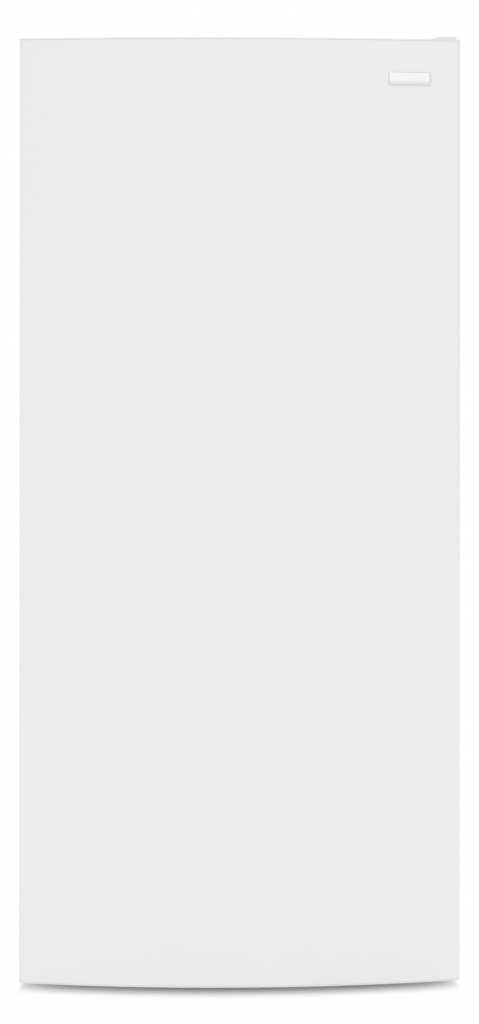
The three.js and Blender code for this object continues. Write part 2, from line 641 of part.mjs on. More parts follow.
// A serpentine tube in layers, held between two end plates that stand on the base pan.
function condenserCoil() {
  const { run, passes, pitch, layers, layerPitch, tube, plate, plateInset, border } = CONDENSER;
  const corner = (i, layer, end) => new THREE.Vector3(
    (i - (passes - 1) / 2) * pitch, end * run, CONDENSER_LIFT + layer * layerPitch,
  );
  const points = [corner(0, 0, -1)];
  range(layers * passes - 1).forEach((turn) => {
    const layer = Math.floor(turn / passes);
    const order = turn % passes;
    const way = layer % 2 ? -1 : 1;
    const i = way > 0 ? order : passes - 1 - order;
    const end = turn % 2 ? -1 : 1;
    const here = corner(i, layer, end);
    const next = order < passes - 1 ? corner(i + way, layer, end) : corner(i, layer + 1, end);
    const middle = here.clone().lerp(next, 0.5);
    const start = here.clone().sub(middle);
    points.push(...bend(middle, start, Y.clone().multiplyScalar(end * start.length())));
  });
  const last = (layers * passes) % 2 ? 1 : -1;
  points.push(corner(layers % 2 ? passes - 1 : 0, layers - 1, last));
  const halfSpan = ((passes - 1) / 2) * pitch + border;
  const top = CONDENSER_LIFT + (layers - 1) * layerPitch + border;
  const ends = both(run - plateInset);
  const plateZ = [CONDENSER_LIFT - border, top];
  const plates = ends.map((y) => slab(both(halfSpan), around(y, plate / 2), plateZ));
  const feet = ends.flatMap((y) => pair([halfSpan - border, halfSpan], around(y, plate / 2), [0, top]));
  return join(pipe(points, tube, 6), ...plates, ...feet);
}

// The tray for the melt water, between the coil's two end plates.
function drainPan() {
  const { halfWidth: w, height, wall } = DRAIN_PAN;
  const d = CONDENSER.run - CONDENSER.plateInset - CONDENSER.plate / 2 - LOOSE;
  return cut(
    slab(both(w), both(d), [0, height]),
    slab(both(w - wall), both(d - wall), [wall, height + 1]),
  );
}

// The fans share one local frame: Z is the shaft, and z = 0 the motor's mounting face.
const fanMotor = () => join(
  spun([
    [0, 0], [MOTOR.radius, 0], [MOTOR.radius, MOTOR.length - MOTOR.round],
    [MOTOR.radius - MOTOR.round, MOTOR.length], [0, MOTOR.length],
  ]),
  rod([0, 0, MOTOR.length - 1], [0, 0, MOTOR.length + MOTOR.shaftLength], FAN.shaft, 12),
);

function fanBlade(tipRadius) {
  const start = MOTOR.length + FAN.standOff;
  const end = start + FAN.hubLength;
  const boreEnd = MOTOR.length + MOTOR.shaftLength + GAP;
  const hub = spun([
    [0, boreEnd], [FAN.bore, boreEnd], [FAN.bore, start], [FAN.hub, start],
    [FAN.hub, end - FAN.hubRound], [FAN.hub - FAN.hubRound, end], [0, end],
  ]);
  const root = FAN.hub - FAN.hubRound;
  const length = tipRadius - root;
  const chord = FAN.chord * tipRadius;
  const blades = range(FAN.count).map((i) => {
    const blade = new THREE.BoxGeometry(length, chord, FAN.blade);
    blade.rotateX(THREE.MathUtils.degToRad(FAN.pitch));
    blade.translate(root + length / 2, 0, (start + end) / 2);
    return solidOf(blade.rotateZ((i / FAN.count) * 2 * Math.PI));
  });
  const reach = rod([0, 0, start - chord], [0, 0, end + chord], tipRadius, 32);
  return join(hub, ...blades.map((blade) => blade.intersect(reach)));
}

// A plate with a round opening for the fan, and the bridge behind it that carries the motor.
function fanShroud() {
  const plateZ = MOTOR.length + FAN.standOff + FAN.hubLength / 2;
  const halfHeight = (BAY_TOP - panTop) / 2 - GAP;
  const plate = slab(both(halfHeight), both(SHROUD.halfDepth), around(plateZ, SHROUD.thickness / 2));
  const opening = rod([0, 0, 0], [0, 0, 2 * plateZ], CONDENSER_FAN + 2 * LOOSE, 32);
  const bridgeEnd = CONDENSER_FAN + 3 * LOOSE;
  const back = -GAP - SHROUD.thickness;
  const outer = bridgeEnd + SHROUD.thickness;
  const bridge = slab(both(outer), both(SHROUD.bar), [back, -GAP]);
  const arms = pair([bridgeEnd, outer], both(SHROUD.bar), [back, plateZ]);
  return join(cut(plate, opening), bridge, ...arms);
}

function suctionLine(from, to) {
  const crown = from.clone().lerp(to, 0.5).setZ(from.z + LINE.crown);
  const curve = new THREE.CatmullRomCurve3([
    from, from.clone().addScaledVector(Z, LINE.rise), crown, to.clone().addScaledVector(Y, LINE.lead), to,
  ]);
  return pipe(curve.getSpacedPoints(14), LINE.radius);
}

// ---------------------------------------------------------------- evaporator

function evaporatorCover() {
  const half = roomHalf - GAP;
  const z = [humpTop + GAP, roomTop - GAP];
  const panel = slab(both(half), [coverFace, coverInside], z);
  const returns = pair([half - PLASTIC, half], [coverFace, roomBack - GAP], z);
  const outlet = spread(VENT.count, VENT.pitch).map((dz) => slab(
    both(VENT.width / 2), [coverFace - 1, coverInside + 1], around(fanHeight + dz, VENT.height / 2),
  ));
  const inlet = [-1, 0, 1].flatMap((i) => range(RETURN_VENT.count).map((row) => slab(
    around(i * RETURN_VENT.spacing, RETURN_VENT.width / 2), [coverFace - 1, coverInside + 1],
    around(humpTop + RETURN_VENT.aboveHump + row * RETURN_VENT.pitch, RETURN_VENT.height / 2),
  )));
  return cut(join(panel, ...returns), ...outlet, ...inlet);
}

// Fins on both sides of a tube row, as one comb seen from above and pushed up.
function evaporatorCoil() {
  const half = roomHalf - COIL.inset;
  const pitch = (2 * half - COIL.fin) / (COIL.fins - 1);
  const edge = (y, way) => range(COIL.fins).flatMap((i) => {
    const x = way * (-half + i * pitch);
    const next = x + way * COIL.fin;
    return [[x, way * y[0]], [x, way * y[1]], [next, way * y[1]], [next, way * y[0]]];
  });
  const reach = [-COIL.spine / 2, -COIL.depth / 2];
  const comb = polygon([...edge(reach, 1), ...edge(reach, -1)]);
  return prism(comb, 'z', [0, COIL.height]);
}

function defrostHeater() {
  const half = roomHalf - COIL.inset - HEATER_END;
  const reach = COIL.depth / 4;
  const at = (x, y) => new THREE.Vector3(x, y, 0);
  const turn = bend(at(half, 0), at(0, -reach), at(reach, 0), 6);
  return pipe([at(-half, -reach), ...turn, at(-half, reach)], HEATER_RADIUS);
}

// A tray under the coil, and the tube that leads the melt water down into the machine bay.
function drainTrough() {
  const { inset, height, wall, tubeRadius, tubeWall, drainX, tubeEnd } = TROUGH;
  const half = roomHalf - inset;
  const y = [coverInside + LOOSE, roomBack - LOOSE];
  const bottom = humpTop + GAP;
  const tray = cut(
    slab(both(half), y, [bottom, bottom + height]),
    slab(both(half - wall), [y[0] + wall, y[1] - wall], [bottom + wall, bottom + height + 1]),
  );
  const tube = rod([drainX, drainY, BAY_TOP - tubeEnd], [drainX, drainY, bottom + wall], tubeRadius, 20);
  const bore = rod([drainX, drainY, 0], [drainX, drainY, bottom + height], tubeRadius - tubeWall, 20);
  return cut(join(tray, tube), bore);
}

// ---------------------------------------------------------------- shelves, basket and controls

const shelfHalf = roomHalf - LOOSE;
const shelfDepth = coverFace - LOOSE - SHELF_FRONT;

// Shelf frame and pane share one local frame: front edge at y = 0, underside at z = 0.
function shelfFrame() {
  const glassBottom = SHELF_THICKNESS - GLASS - GAP;
  const inner = SHELF_BORDER;
  const outerBlock = slab(both(shelfHalf), [0, shelfDepth], [0, SHELF_THICKNESS]);
  const top = SHELF_THICKNESS + SHELF_NOSE;
  const nose = slab(both(shelfHalf), [-SHELF_NOSE, SHELF_BORDER / 2], [-SHELF_DROP, top]);
  const opening = slab(both(shelfHalf - inner), [inner, shelfDepth - inner], [-1, top]);
  const noseCut = pair(
    [shelfHalf - LEDGE_WIDTH - LOOSE, shelfHalf + 1], [-SHELF_NOSE - 1, SHELF_BORDER], [-SHELF_DROP - 1, 0],
  );
  const lap = inner - GLASS_LAP;
  const seat = slab(both(shelfHalf - lap), [lap, shelfDepth - lap], [glassBottom, top]);
  return cut(join(outerBlock, nose), opening, seat, ...noseCut);
}

function shelfGlass() {
  const lap = SHELF_BORDER - GLASS_LAP + GAP;
  const bottom = SHELF_THICKNESS - GLASS;
  return slab(both(shelfHalf - lap), [lap, shelfDepth - lap], [bottom, bottom + GLASS]);
}

const basketFloor = roomFloor + BASKET_FLOOR_GAP;
const basketLength = humpFront - LOOSE - SHELF_FRONT - RIM_WIRE;
const basketRim = BASKET_RAIL + GAP - basketFloor; // underside of the rim above the basket's floor
const basketHalf = roomHalf - BASKET_SIDE_INSET;

// The basket's envelope: a tray with thin walls, a flange along both sides and a thick rim wire.
// Local frame: its front at y = 0, its floor at z = 0.
function wireBasket() {
  const rimHalf = roomHalf - LOOSE;
  const rimTop = basketRim + RIM_WIRE;
  const front = RIM_WIRE / 2;
  const back = basketLength - RIM_WIRE / 2;
  const tray = cut(
    slab(both(basketHalf), [front, back], [0, basketRim + BASKET_WALL]),
    slab(
      both(basketHalf - BASKET_WALL), [front + BASKET_WALL, back - BASKET_WALL], [BASKET_WALL, rimTop],
    ),
  );
  const flanges = pair(
    [basketHalf - BASKET_WALL, rimHalf - RIM_WIRE / 2], [front, back], [basketRim, basketRim + BASKET_WALL],
  );
  const rim = cut(
    slab(both(rimHalf), [0, basketLength], [basketRim, rimTop]),
    slab(both(rimHalf - RIM_WIRE), [RIM_WIRE, basketLength - RIM_WIRE], [basketRim - 1, rimTop + 1]),
  );
  return join(tray, ...flanges, rim);
}

// A grip plate that hooks over the front rim.
function basketHandle() {
  const { width, height, thickness, gripInset, gripHeight, gripDrop } = HANDLE_PLATE;
  const top = basketRim + RIM_WIRE + GAP + PLASTIC;
  const face = slab(both(width / 2), [-GAP - thickness, -GAP], [top - height, top]);
  const hook = slab(both(width / 2), [-GAP - thickness, RIM_WIRE + GAP + PLASTIC], [top - PLASTIC, top]);
  const behindRim = [RIM_WIRE + GAP, RIM_WIRE + GAP + PLASTIC];
  const tongue = slab(both(width / 2), behindRim, [top - PLASTIC - RIM_WIRE, top]);
  const gripZ = around(top - height / 2 - gripDrop, gripHeight / 2);
  const grip = slab(both(width / 2 - gripInset), [-GAP - thickness - 1, 0], gripZ);
  return cut(join(face, hook, tongue), grip);
}

const controlBottom = roomTop - CONTROL.height;
const controlMiddle = controlBottom + CONTROL.height / 2;
const buttonX = (index) => FIRST_BUTTON + index * BUTTON_PITCH;
const windowX = buttonX(BUTTON_COUNT - 1) + BUTTON_PITCH / 2 + CONTROL.windowWidth / 2 + LOOSE;

// An open-topped housing against the ceiling, with holes for what shows through it.
function controlHousing() {
  const half = roomHalf - GAP;
  const y = [CONTROL.front, CONTROL.front + CONTROL.depth];
  const shell = cut(
    slab(both(half), y, [controlBottom, roomTop - GAP]),
    slab(both(half - PLASTIC), [y[0] + PLASTIC, y[1] - PLASTIC], [controlBottom + PLASTIC, roomTop]),
  );
  const through = [CONTROL.front - 1, CONTROL.front + PLASTIC + 1];
  const hole = (x, radius) => rod(
    [x, through[0], controlMiddle], [x, through[1], controlMiddle], radius, 20,
  );
  const lampHole = slab(
    both(LAMP.halfWidth), [CONTROL.front + LAMP.front, CONTROL.front + LAMP.front + LAMP.depth],
    [controlBottom - 1, controlBottom + PLASTIC + 1],
  );
  const window = slab(
    around(windowX, CONTROL.windowWidth / 2), through, around(controlMiddle, CONTROL.windowHeight / 2),
  );
  const buttonHoles = range(BUTTON_COUNT).map((i) => hole(buttonX(i), BUTTON_RADIUS + GAP));
  return cut(shell, ...buttonHoles, hole(switchX, SWITCH_RADIUS + GAP), window, lampHole);
}

// A round cap about Z, pushed in along +Z; its flange stops behind the housing's wall.
const pushPiece = (radius, proud) => spun([
  [0, -proud], [radius - PUSH_ROUND, -proud], [radius, -proud + PUSH_ROUND], [radius, PLASTIC + GAP],
  [radius + PUSH_FLANGE, PLASTIC + GAP], [radius + PUSH_FLANGE, PLASTIC + GAP + PUSH_FLANGE],
  [0, PLASTIC + GAP + PUSH_FLANGE],
]);

function controlDisplay() {
  const w = CONTROL.windowWidth / 2 - GAP;
  const h = CONTROL.windowHeight / 2 - GAP;
  const y = CONTROL.front + PLASTIC + GAP;
  const { sunk, flange, thickness } = DISPLAY;
  const back = y + thickness;
  const face = slab(around(windowX, w), [CONTROL.front + sunk, back], around(controlMiddle, h));
  return join(face, slab(around(windowX, w + flange), [y, back], around(controlMiddle, h + flange)));
}

// A lens that fills the housing's lower opening and rests on its edges by a flange.
function lampCover() {
  const { halfWidth: half, front, depth, drop, wall, lap } = LAMP;
  const y = [CONTROL.front + front, CONTROL.front + front + depth];
  const grow = (by) => [y[0] - by, y[1] + by];
  const seat = controlBottom + PLASTIC + GAP;
  const lens = slab(both(half - GAP), grow(-GAP), [controlBottom - drop, seat + wall]);
  const flange = slab(both(half + lap), grow(lap), [seat, seat + wall]);
  const inner = controlBottom - drop + wall;
  const hollow = slab(both(half - GAP - wall), grow(-GAP - wall), [inner, seat + lap]);
  return cut(join(lens, flange), hollow);
}

// ---------------------------------------------------------------- door

// The door seen from above: a flat back, two sides, rounded corners and the bowed front.
const bowRadius = halfWidth ** 2 / (2 * DOOR_BOW) + DOOR_BOW / 2;
const frontY = (x, inset = 0) => {
  const radius = bowRadius - inset;
  return -(DOOR_EDGE + DOOR_BOW) + inset + radius - Math.sqrt(radius ** 2 - x ** 2);
};

function doorOutline(inset, back) {
  const half = halfWidth - inset;
  const corner = Math.max(DOOR_CORNER - inset, 2);
  const radius = bowRadius - inset;
  const sweep = Math.asin((half - corner) / radius);
  const cornerY = frontY(half, inset);
  const shape = new THREE.Shape();
  shape.moveTo(-half, back);
  shape.lineTo(-half, cornerY + corner);
  shape.quadraticCurveTo(-half, cornerY, corner - half, frontY(half - corner, inset));
  shape.absarc(0, frontY(0, inset) + radius, radius, -Math.PI / 2 - sweep, -Math.PI / 2 + sweep, false);
  shape.quadraticCurveTo(half, cornerY, half, cornerY + corner);
  shape.lineTo(half, back);
  return shape;
}

const doorBlock = (inset, back, z) => prism(doorOutline(inset, back), 'z', z);

const hingeRecess = (grow = 0) => slab(
  [halfWidth - RECESS_WIDTH - grow, halfWidth + 1],
  [frontY(halfWidth) + RECESS_FRONT - grow, 1],
  [doorHeight - RECESS_DEPTH - grow, doorHeight + 1],
);

const handleY = [-HANDLE_BACK - HANDLE_OPENING, -HANDLE_BACK];
const handleZ = [HANDLE_BOTTOM, HANDLE_BOTTOM + HANDLE_LENGTH];
const handleBlock = (grow) => slab(
  [-halfWidth - 1, -halfWidth + HANDLE_DEPTH + grow],
  [handleY[0] - grow, handleY[1] + grow],
  [handleZ[0] - grow, handleZ[1] + grow],
);

function doorSkin() {
  const z = [CAP_FLANGE + GAP, doorHeight - CAP_FLANGE - GAP];
  const wrap = cut(doorBlock(0, 0, z), doorBlock(STEEL, 1, [z[0] - 1, z[1] + 1]));
  const returns = pair([halfWidth - SKIN_RETURN, halfWidth - STEEL / 2], [-STEEL, 0], z);
  return cut(join(wrap, ...returns), handleBlock(0), hingeRecess());
}

// The door liner's raised frame and the pocket inside it, `inset` inwards from its surface.
function dykeBlock(inset, front) {
  const raised = slab(
    both(dykeHalf - inset), [front, DYKE_REACH - inset], [dykeBottom + inset, dykeTop - inset],
  );
  const pocket = slab(
    both(pocketHalf + inset), [POCKET_FLOOR - inset, DYKE_REACH + 1],
    [pocketBottom - inset, pocketTop + inset],
  );
  return cut(raised, pocket);
}

// A square ring in the door's plane, centred on the gasket's line.
function gasketRing(width, y) {
  const ring = (inset) => [
    both(halfWidth - GASKET_INSET - inset), [GASKET_INSET + inset, doorHeight - GASKET_INSET - inset],
  ];
  const [outerX, outerZ] = ring(-width / 2);
  const [innerX, innerZ] = ring(width / 2);
  return cut(slab(outerX, y, outerZ), slab(innerX, [y[0] - 1, y[1] + 1], innerZ));
}

const rimHalf = halfWidth - SKIN_RETURN - GAP;

function doorLiner() {
  const rim = slab(both(rimHalf), [-LINER_RIM, 0], [CAP_FLANGE + GAP, doorHeight - CAP_FLANGE - GAP]);
  const formed = cut(join(rim, dykeBlock(0, -LINER_RIM)), dykeBlock(PLASTIC, -LINER_RIM - 1));
  const opened = cut(formed, slab(
    both(pocketHalf + PLASTIC), [-LINER_RIM - 1, POCKET_FLOOR - PLASTIC],
    [pocketBottom - PLASTIC, pocketTop + PLASTIC],
  ));
  const floor = slab(
    both(pocketHalf + PLASTIC), [POCKET_FLOOR - PLASTIC, POCKET_FLOOR],
    [pocketBottom - PLASTIC, pocketTop + PLASTIC],
  );
  const lugs = binLevels.flatMap((level) => pair(
    [pocketHalf - LUG_WIDTH, pocketHalf + PLASTIC / 2], [POCKET_FLOOR - 1, DYKE_REACH - LOOSE],
    [level - GAP - LUG_HEIGHT, level - GAP],
  ));
  const groove = gasketRing(DART_WIDTH + 2 * GAP, [-DART_DEPTH - 2 * GAP, 1]);
  return cut(join(opened, floor, ...lugs), groove, hingeRecess());
}

function doorFoam() {
  const z = [CAP_DEPTH + GAP, doorHeight - CAP_DEPTH - GAP];
  const main = doorBlock(STEEL + GAP, -LINER_RIM - GAP, z);
  const behindRim = -LINER_RIM - GAP - 1;
  const inDyke = dykeBlock(PLASTIC + GAP, behindRim);
  const inPocket = slab(
    both(pocketHalf + PLASTIC + 2 * GAP), [behindRim, POCKET_FLOOR - PLASTIC - GAP],
    [pocketBottom - PLASTIC - 2 * GAP, pocketTop + PLASTIC + 2 * GAP],
  );
  const bosses = [0, doorHeight].map((end) => slab(
    around(hingeX, BOSS_HALF + GAP), around(-HINGE_INSET, BOSS_HALF + GAP), around(end, bossReach + GAP),
  ));
  return cut(join(main, inDyke, inPocket), handleBlock(GAP), ...bosses);
}

// An end cap: a flange over the skin's edge, a plug inside it and a boss around the hinge pin.
function doorCap(isTop) {
  const fromEnd = (a, b) => (isTop ? [doorHeight - b, doorHeight - a] : [a, b]);
  const plugBack = -LINER_RIM - GAP;
  const flange = doorBlock(0, 0, fromEnd(0, CAP_FLANGE));
  const plug = doorBlock(STEEL + GAP, plugBack, fromEnd(CAP_FLANGE / 2, CAP_DEPTH));
  const boss = slab(
    around(hingeX, BOSS_HALF), [-HINGE_INSET - BOSS_HALF, Math.min(plugBack, -HINGE_INSET + BOSS_HALF)],
    fromEnd(CAP_FLANGE / 2, bossReach),
  );
  const boreEnd = (isTop ? RECESS_DEPTH : 0) + PIN_ENGAGEMENT + LOOSE;
  const [z0, z1] = fromEnd(-1, boreEnd);
  const bore = rod(
    [hingeX, -HINGE_INSET, z0], [hingeX, -HINGE_INSET, z1], PIN_RADIUS + PIN_CLEARANCE, 24,
  );
  const cap = cut(join(flange, plug, boss), bore);
  return isTop ? cut(cap, hingeRecess()) : cap;
}

// The soft seal: a body in the gap between door and cabinet, and a dart pushed into the liner.
const doorGasket = () => join(
  gasketRing(GASKET_WIDTH, [GAP, GASKET_GAP - GAP]),
  gasketRing(DART_WIDTH, [-DART_DEPTH, GAP + 1]),
);

// A finger pocket let into the door's left side.
function handlePocket() {
  const cup = slab(
    [-halfWidth + GAP / 2, -halfWidth + HANDLE_DEPTH], [handleY[0] + GAP, handleY[1] - GAP],
    [handleZ[0] + GAP, handleZ[1] - GAP],
  );
  const wall = PLASTIC + GAP;
  const hollow = slab(
    [-halfWidth - 1, -halfWidth + HANDLE_DEPTH - PLASTIC], [handleY[0] + wall, handleY[1] - wall],
    [handleZ[0] + wall, handleZ[1] - wall],
  );
  return cut(cup, hollow);
}

function badgePlate() {
  const { width, height, thickness, edge } = BADGE;
  const face = polygon([
    [-width / 2, -height / 2], [width / 2, -height / 2], [width / 2, height / 2], [-width / 2, height / 2],
  ]);
  const geometry = new THREE.ExtrudeGeometry(face, {
    depth: thickness - edge, bevelThickness: edge, bevelSize: edge, bevelOffset: -edge, bevelSegments: 1,
  });
  const upright = new THREE.Matrix4().makeBasis(X, Z, Y.clone().negate());
  const solid = solidOf(geometry.applyMatrix4(upright));
  return cut(solid, slab(both(width), [0, thickness], both(height)));
}

// Seen from above: straight at the door, rounded where the bin reaches into the room.
function binOutline(inset) {
  const half = pocketHalf - LOOSE - inset;
  const depth = BIN_DEPTH - inset;
  const corner = BIN_CORNER - inset;
  const shape = new THREE.Shape();
  shape.moveTo(-half, inset);
  shape.lineTo(half, inset);
  shape.lineTo(half, depth - corner);
  shape.quadraticCurveTo(half, depth, half - corner, depth);
  shape.lineTo(-half + corner, depth);
  shape.quadraticCurveTo(-half, depth, -half, depth - corner);
  return shape;
}

const doorBin = (height) => cut(
  prism(binOutline(0), 'z', [0, height], 5),
  prism(binOutline(PLASTIC), 'z', [PLASTIC, height + 1], 5),
);

// ---------------------------------------------------------------- assembly

const freezer = new THREE.Group();
const cabinet = frameAt(freezer, [0, cabinetFrontY, 0]);

add(cabinet, 'cabinet_wrapper', cabinetWrapper(), enamel);
add(cabinet, 'front_sill', frontSill(), enamel);
add(cabinet, 'base_pan', basePan(), zincSteel);
add(cabinet, 'back_panel', backPanel(), backSteel);
add(cabinet, 'cabinet_liner', cabinetLiner(), liner);
add(cabinet, 'cabinet_foam', cabinetFoam(), foam);
add(cabinet, 'bay_bulkhead', bayBulkhead(), zincSteel);
add(cabinet, 'rear_access_cover', rearAccessCover(), backSteel);
add(cabinet, 'cord_gland', cordGland(), blackPlastic,
  [glandX, backFace + GAP, glandZ], [Math.PI / 2, 0, 0]);

add(cabinet, 'top_hinge_plate', topHingePlate(), zincSteel);
add(cabinet, 'top_hinge_cover', topHingeCover(), whitePlastic);
add(cabinet, 'bottom_hinge_bracket', bottomHingeBracket(), zincSteel);
[['left', -1], ['right', 1]].forEach(([side, way]) => {
  add(cabinet, `levelling_leg_${side}`, levellingLeg(), greyPlastic, [way * legX, LEG_INSET, 0]);
  const wheel = frameAt(
    cabinet, [way * (halfWidth - ROLLER_INSET), CABINET_DEPTH - ROLLER_REAR, ROLLER_RADIUS],
  );
  add(wheel, `roller_bracket_${side}`, rollerBracket(), zincSteel);
  add(wheel, `rear_roller_${side}`, roller(), blackPlastic);
});

const compressorPlace = frameAt(
  cabinet, [compressorX, bayFront + COMPRESSOR.behindBulkhead, panTop + GAP + COMPRESSOR.feet],
);
add(compressorPlace, 'compressor', compressor(), blackSteel);
add(compressorPlace, 'compressor_relay_cover', relayCover(), blackPlastic);
const condenserPlace = frameAt(
  cabinet, [condenserX, bayFront + COMPRESSOR.behindBulkhead, panTop + GAP],
);
add(condenserPlace, 'condenser_coil', condenserCoil(), blackSteel);
add(condenserPlace, 'drain_pan', drainPan(), blackPlastic);
const condenserFan = frameAt(
  cabinet, [SHROUD.x, bayFront + COMPRESSOR.behindBulkhead, (panTop + BAY_TOP) / 2], [0, Math.PI / 2, 0],
);
add(condenserFan, 'condenser_fan_shroud', fanShroud(), zincSteel);
add(condenserFan, 'condenser_fan_motor', fanMotor(), greyPlastic);
add(condenserFan, 'condenser_fan_blade', fanBlade(CONDENSER_FAN), blackPlastic);
const lineStart = compressorPlace.position.clone()
  .add(new THREE.Vector3(STUB.x, 0, COMPRESSOR.height + STUB.above + GAP));
const lineEnd = new THREE.Vector3(
  compressorX - LINE.left, bayFront + STEEL + GAP, BAY_TOP - LINE.belowRoof,
);
add(cabinet, 'suction_line', suctionLine(lineStart, lineEnd), copper);

const coilY = roomBack - GAP - COIL.depth / 2;
const coilZ = humpTop + COIL.bottom;
add(cabinet, 'evaporator_cover', evaporatorCover(), whitePlastic);
add(cabinet, 'evaporator_coil', evaporatorCoil(), aluminium, [0, coilY, coilZ]);
add(cabinet, 'defrost_heater', defrostHeater(), zincSteel, [0, coilY, coilZ - GAP - HEATER_RADIUS]);
add(cabinet, 'drain_trough', drainTrough(), greyPlastic);
const evaporatorFan = frameAt(cabinet, [0, roomBack - GAP, fanHeight], [Math.PI / 2, 0, 0]);
add(evaporatorFan, 'evaporator_fan_motor', fanMotor(), greyPlastic);
add(evaporatorFan, 'evaporator_fan_blade', fanBlade(EVAPORATOR_FAN), whitePlastic);

SHELF_LEDGES.forEach((ledge, i) => {
  const shelf = frameAt(cabinet, [0, SHELF_FRONT, ledgeTop(ledge) + GAP]);
  add(shelf, `shelf_frame_${i + 1}`, shelfFrame(), whitePlastic);
  add(shelf, `shelf_glass_${i + 1}`, shelfGlass(), glass);
});
const basket = frameAt(cabinet, [0, SHELF_FRONT, basketFloor]);
add(basket, 'wire_basket', wireBasket(), coatedWire);
add(basket, 'basket_handle', basketHandle(), whitePlastic);

const intoHousing = [-Math.PI / 2, 0, 0]; // turns a push piece's +Z to the cabinet's +Y
add(cabinet, 'control_housing', controlHousing(), whitePlastic);
add(cabinet, 'control_display', controlDisplay(), displayGlass);
add(cabinet, 'lamp_cover', lampCover(), binPlastic);
range(BUTTON_COUNT).forEach((i) => add(
  cabinet, `control_button_${i + 1}`, pushPiece(BUTTON_RADIUS, BUTTON_PROUD), whitePlastic,
  [buttonX(i), CONTROL.front, controlMiddle], intoHousing,
));
const switchReach = CONTROL.front + SWITCH_TRAVEL - (DYKE_REACH - GASKET_GAP) - GAP;
add(cabinet, 'door_switch_plunger', pushPiece(SWITCH_RADIUS, switchReach), greyPlastic,
  [switchX, CONTROL.front + SWITCH_TRAVEL, controlMiddle], intoHousing);

const door = frameAt(cabinet, [0, -GASKET_GAP, DOOR_BOTTOM]);
add(door, 'door_skin', doorSkin(), enamel);
add(door, 'door_liner', doorLiner(), liner);
add(door, 'door_foam', doorFoam(), foam);
add(door, 'door_top_cap', doorCap(true), whitePlastic);
add(door, 'door_bottom_cap', doorCap(false), whitePlastic);
add(door, 'door_gasket', doorGasket(), gasketRubber);
add(door, 'handle_pocket', handlePocket(), whitePlastic);
add(door, 'badge_plate', badgePlate(), badgeMetal,
  [badgeX, frontY(badgeX) - GAP, doorHeight - BADGE.belowTop],
  [0, 0, Math.asin(badgeX / bowRadius)]);
BIN_HEIGHTS.forEach((height, i) => add(
  door, `door_bin_${i + 1}`, doorBin(height), binPlastic, [0, POCKET_FLOOR + GAP, binLevels[i]],
));

export default freezer;
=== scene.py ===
# %% [markdown]
# # Dressing an upright freezer
#
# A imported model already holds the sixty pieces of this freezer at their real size, and says which body each
# one moves with. This lesson gives them the surfaces and small forms that a factory would: sheet metal with
# real bends, moulded corners, wire, glass, rubber and screws. Every piece takes its place from the frame, so
# loading comes first.

# %% Load the frame
from math import asin, cos, pi, radians, sin, sqrt

import bmesh
import bpy
from mathutils import Matrix, Vector


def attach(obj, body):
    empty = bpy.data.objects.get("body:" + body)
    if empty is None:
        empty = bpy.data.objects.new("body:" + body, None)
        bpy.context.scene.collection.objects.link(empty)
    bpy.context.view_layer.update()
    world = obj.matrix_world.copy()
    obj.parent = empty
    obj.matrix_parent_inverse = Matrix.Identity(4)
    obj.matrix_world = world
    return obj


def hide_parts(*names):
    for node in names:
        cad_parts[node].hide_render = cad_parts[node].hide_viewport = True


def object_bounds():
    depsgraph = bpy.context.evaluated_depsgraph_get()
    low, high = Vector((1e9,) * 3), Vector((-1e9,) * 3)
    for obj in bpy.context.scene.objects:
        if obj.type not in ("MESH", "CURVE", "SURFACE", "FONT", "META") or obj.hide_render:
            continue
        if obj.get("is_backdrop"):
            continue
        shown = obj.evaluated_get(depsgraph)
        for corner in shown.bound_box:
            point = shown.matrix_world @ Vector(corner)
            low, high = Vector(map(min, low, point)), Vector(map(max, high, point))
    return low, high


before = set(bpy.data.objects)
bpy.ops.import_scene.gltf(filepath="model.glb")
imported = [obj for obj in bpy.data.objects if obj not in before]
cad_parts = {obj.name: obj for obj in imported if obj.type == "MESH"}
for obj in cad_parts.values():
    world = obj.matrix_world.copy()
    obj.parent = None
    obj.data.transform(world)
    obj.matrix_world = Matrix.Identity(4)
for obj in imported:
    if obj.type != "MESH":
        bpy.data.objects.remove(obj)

cad_box = [list(corner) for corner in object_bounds()]
print("CAD box in metres:", cad_box)

# %% [markdown]
# ## Writing shaders as sums
#
# A finish is a small program: some noise, scaled, added to a colour. Wiring that by hand takes many lines,
# so one class wraps a node's output and overloads the arithmetic. `0.3 + noise * 0.1` then adds its Math
# nodes by itself, and so does `1 - noise`, which starts from a plain number.

# %% A socket that does arithmetic
class Socket:
    def __init__(self, nodes, output):
        self.nodes = nodes
        self.output = output

    def math(self, operation, first, second):
        return self.nodes.node("Math", {0: first, 1: second}, operation=operation)

    def __add__(self, other):
        return self.math("ADD", self, other)

    def __sub__(self, other):
        return self.math("SUBTRACT", self, other)

    def __rsub__(self, other):
        return self.math("SUBTRACT", other, self)

    def __mul__(self, other):
        return self.math("MULTIPLY", self, other)

    __radd__ = __add__
    __rmul__ = __mul__

    def over(self, other):
        return self.math("MAXIMUM", self, other)


# %% [markdown]
# ## One method for every other node
#
# Noise, mixes and shaders all need the same three things: settings, values and links. So one method makes
# any of them, and the finishes, the floor and the sky share it. The settings are attributes set by name, as
# they are later on for modifiers, lamps and the camera.

# %% Nodes and finishes
def with_settings(thing, **settings):
    for key, value in settings.items():
        setattr(thing, key, value)
    return thing


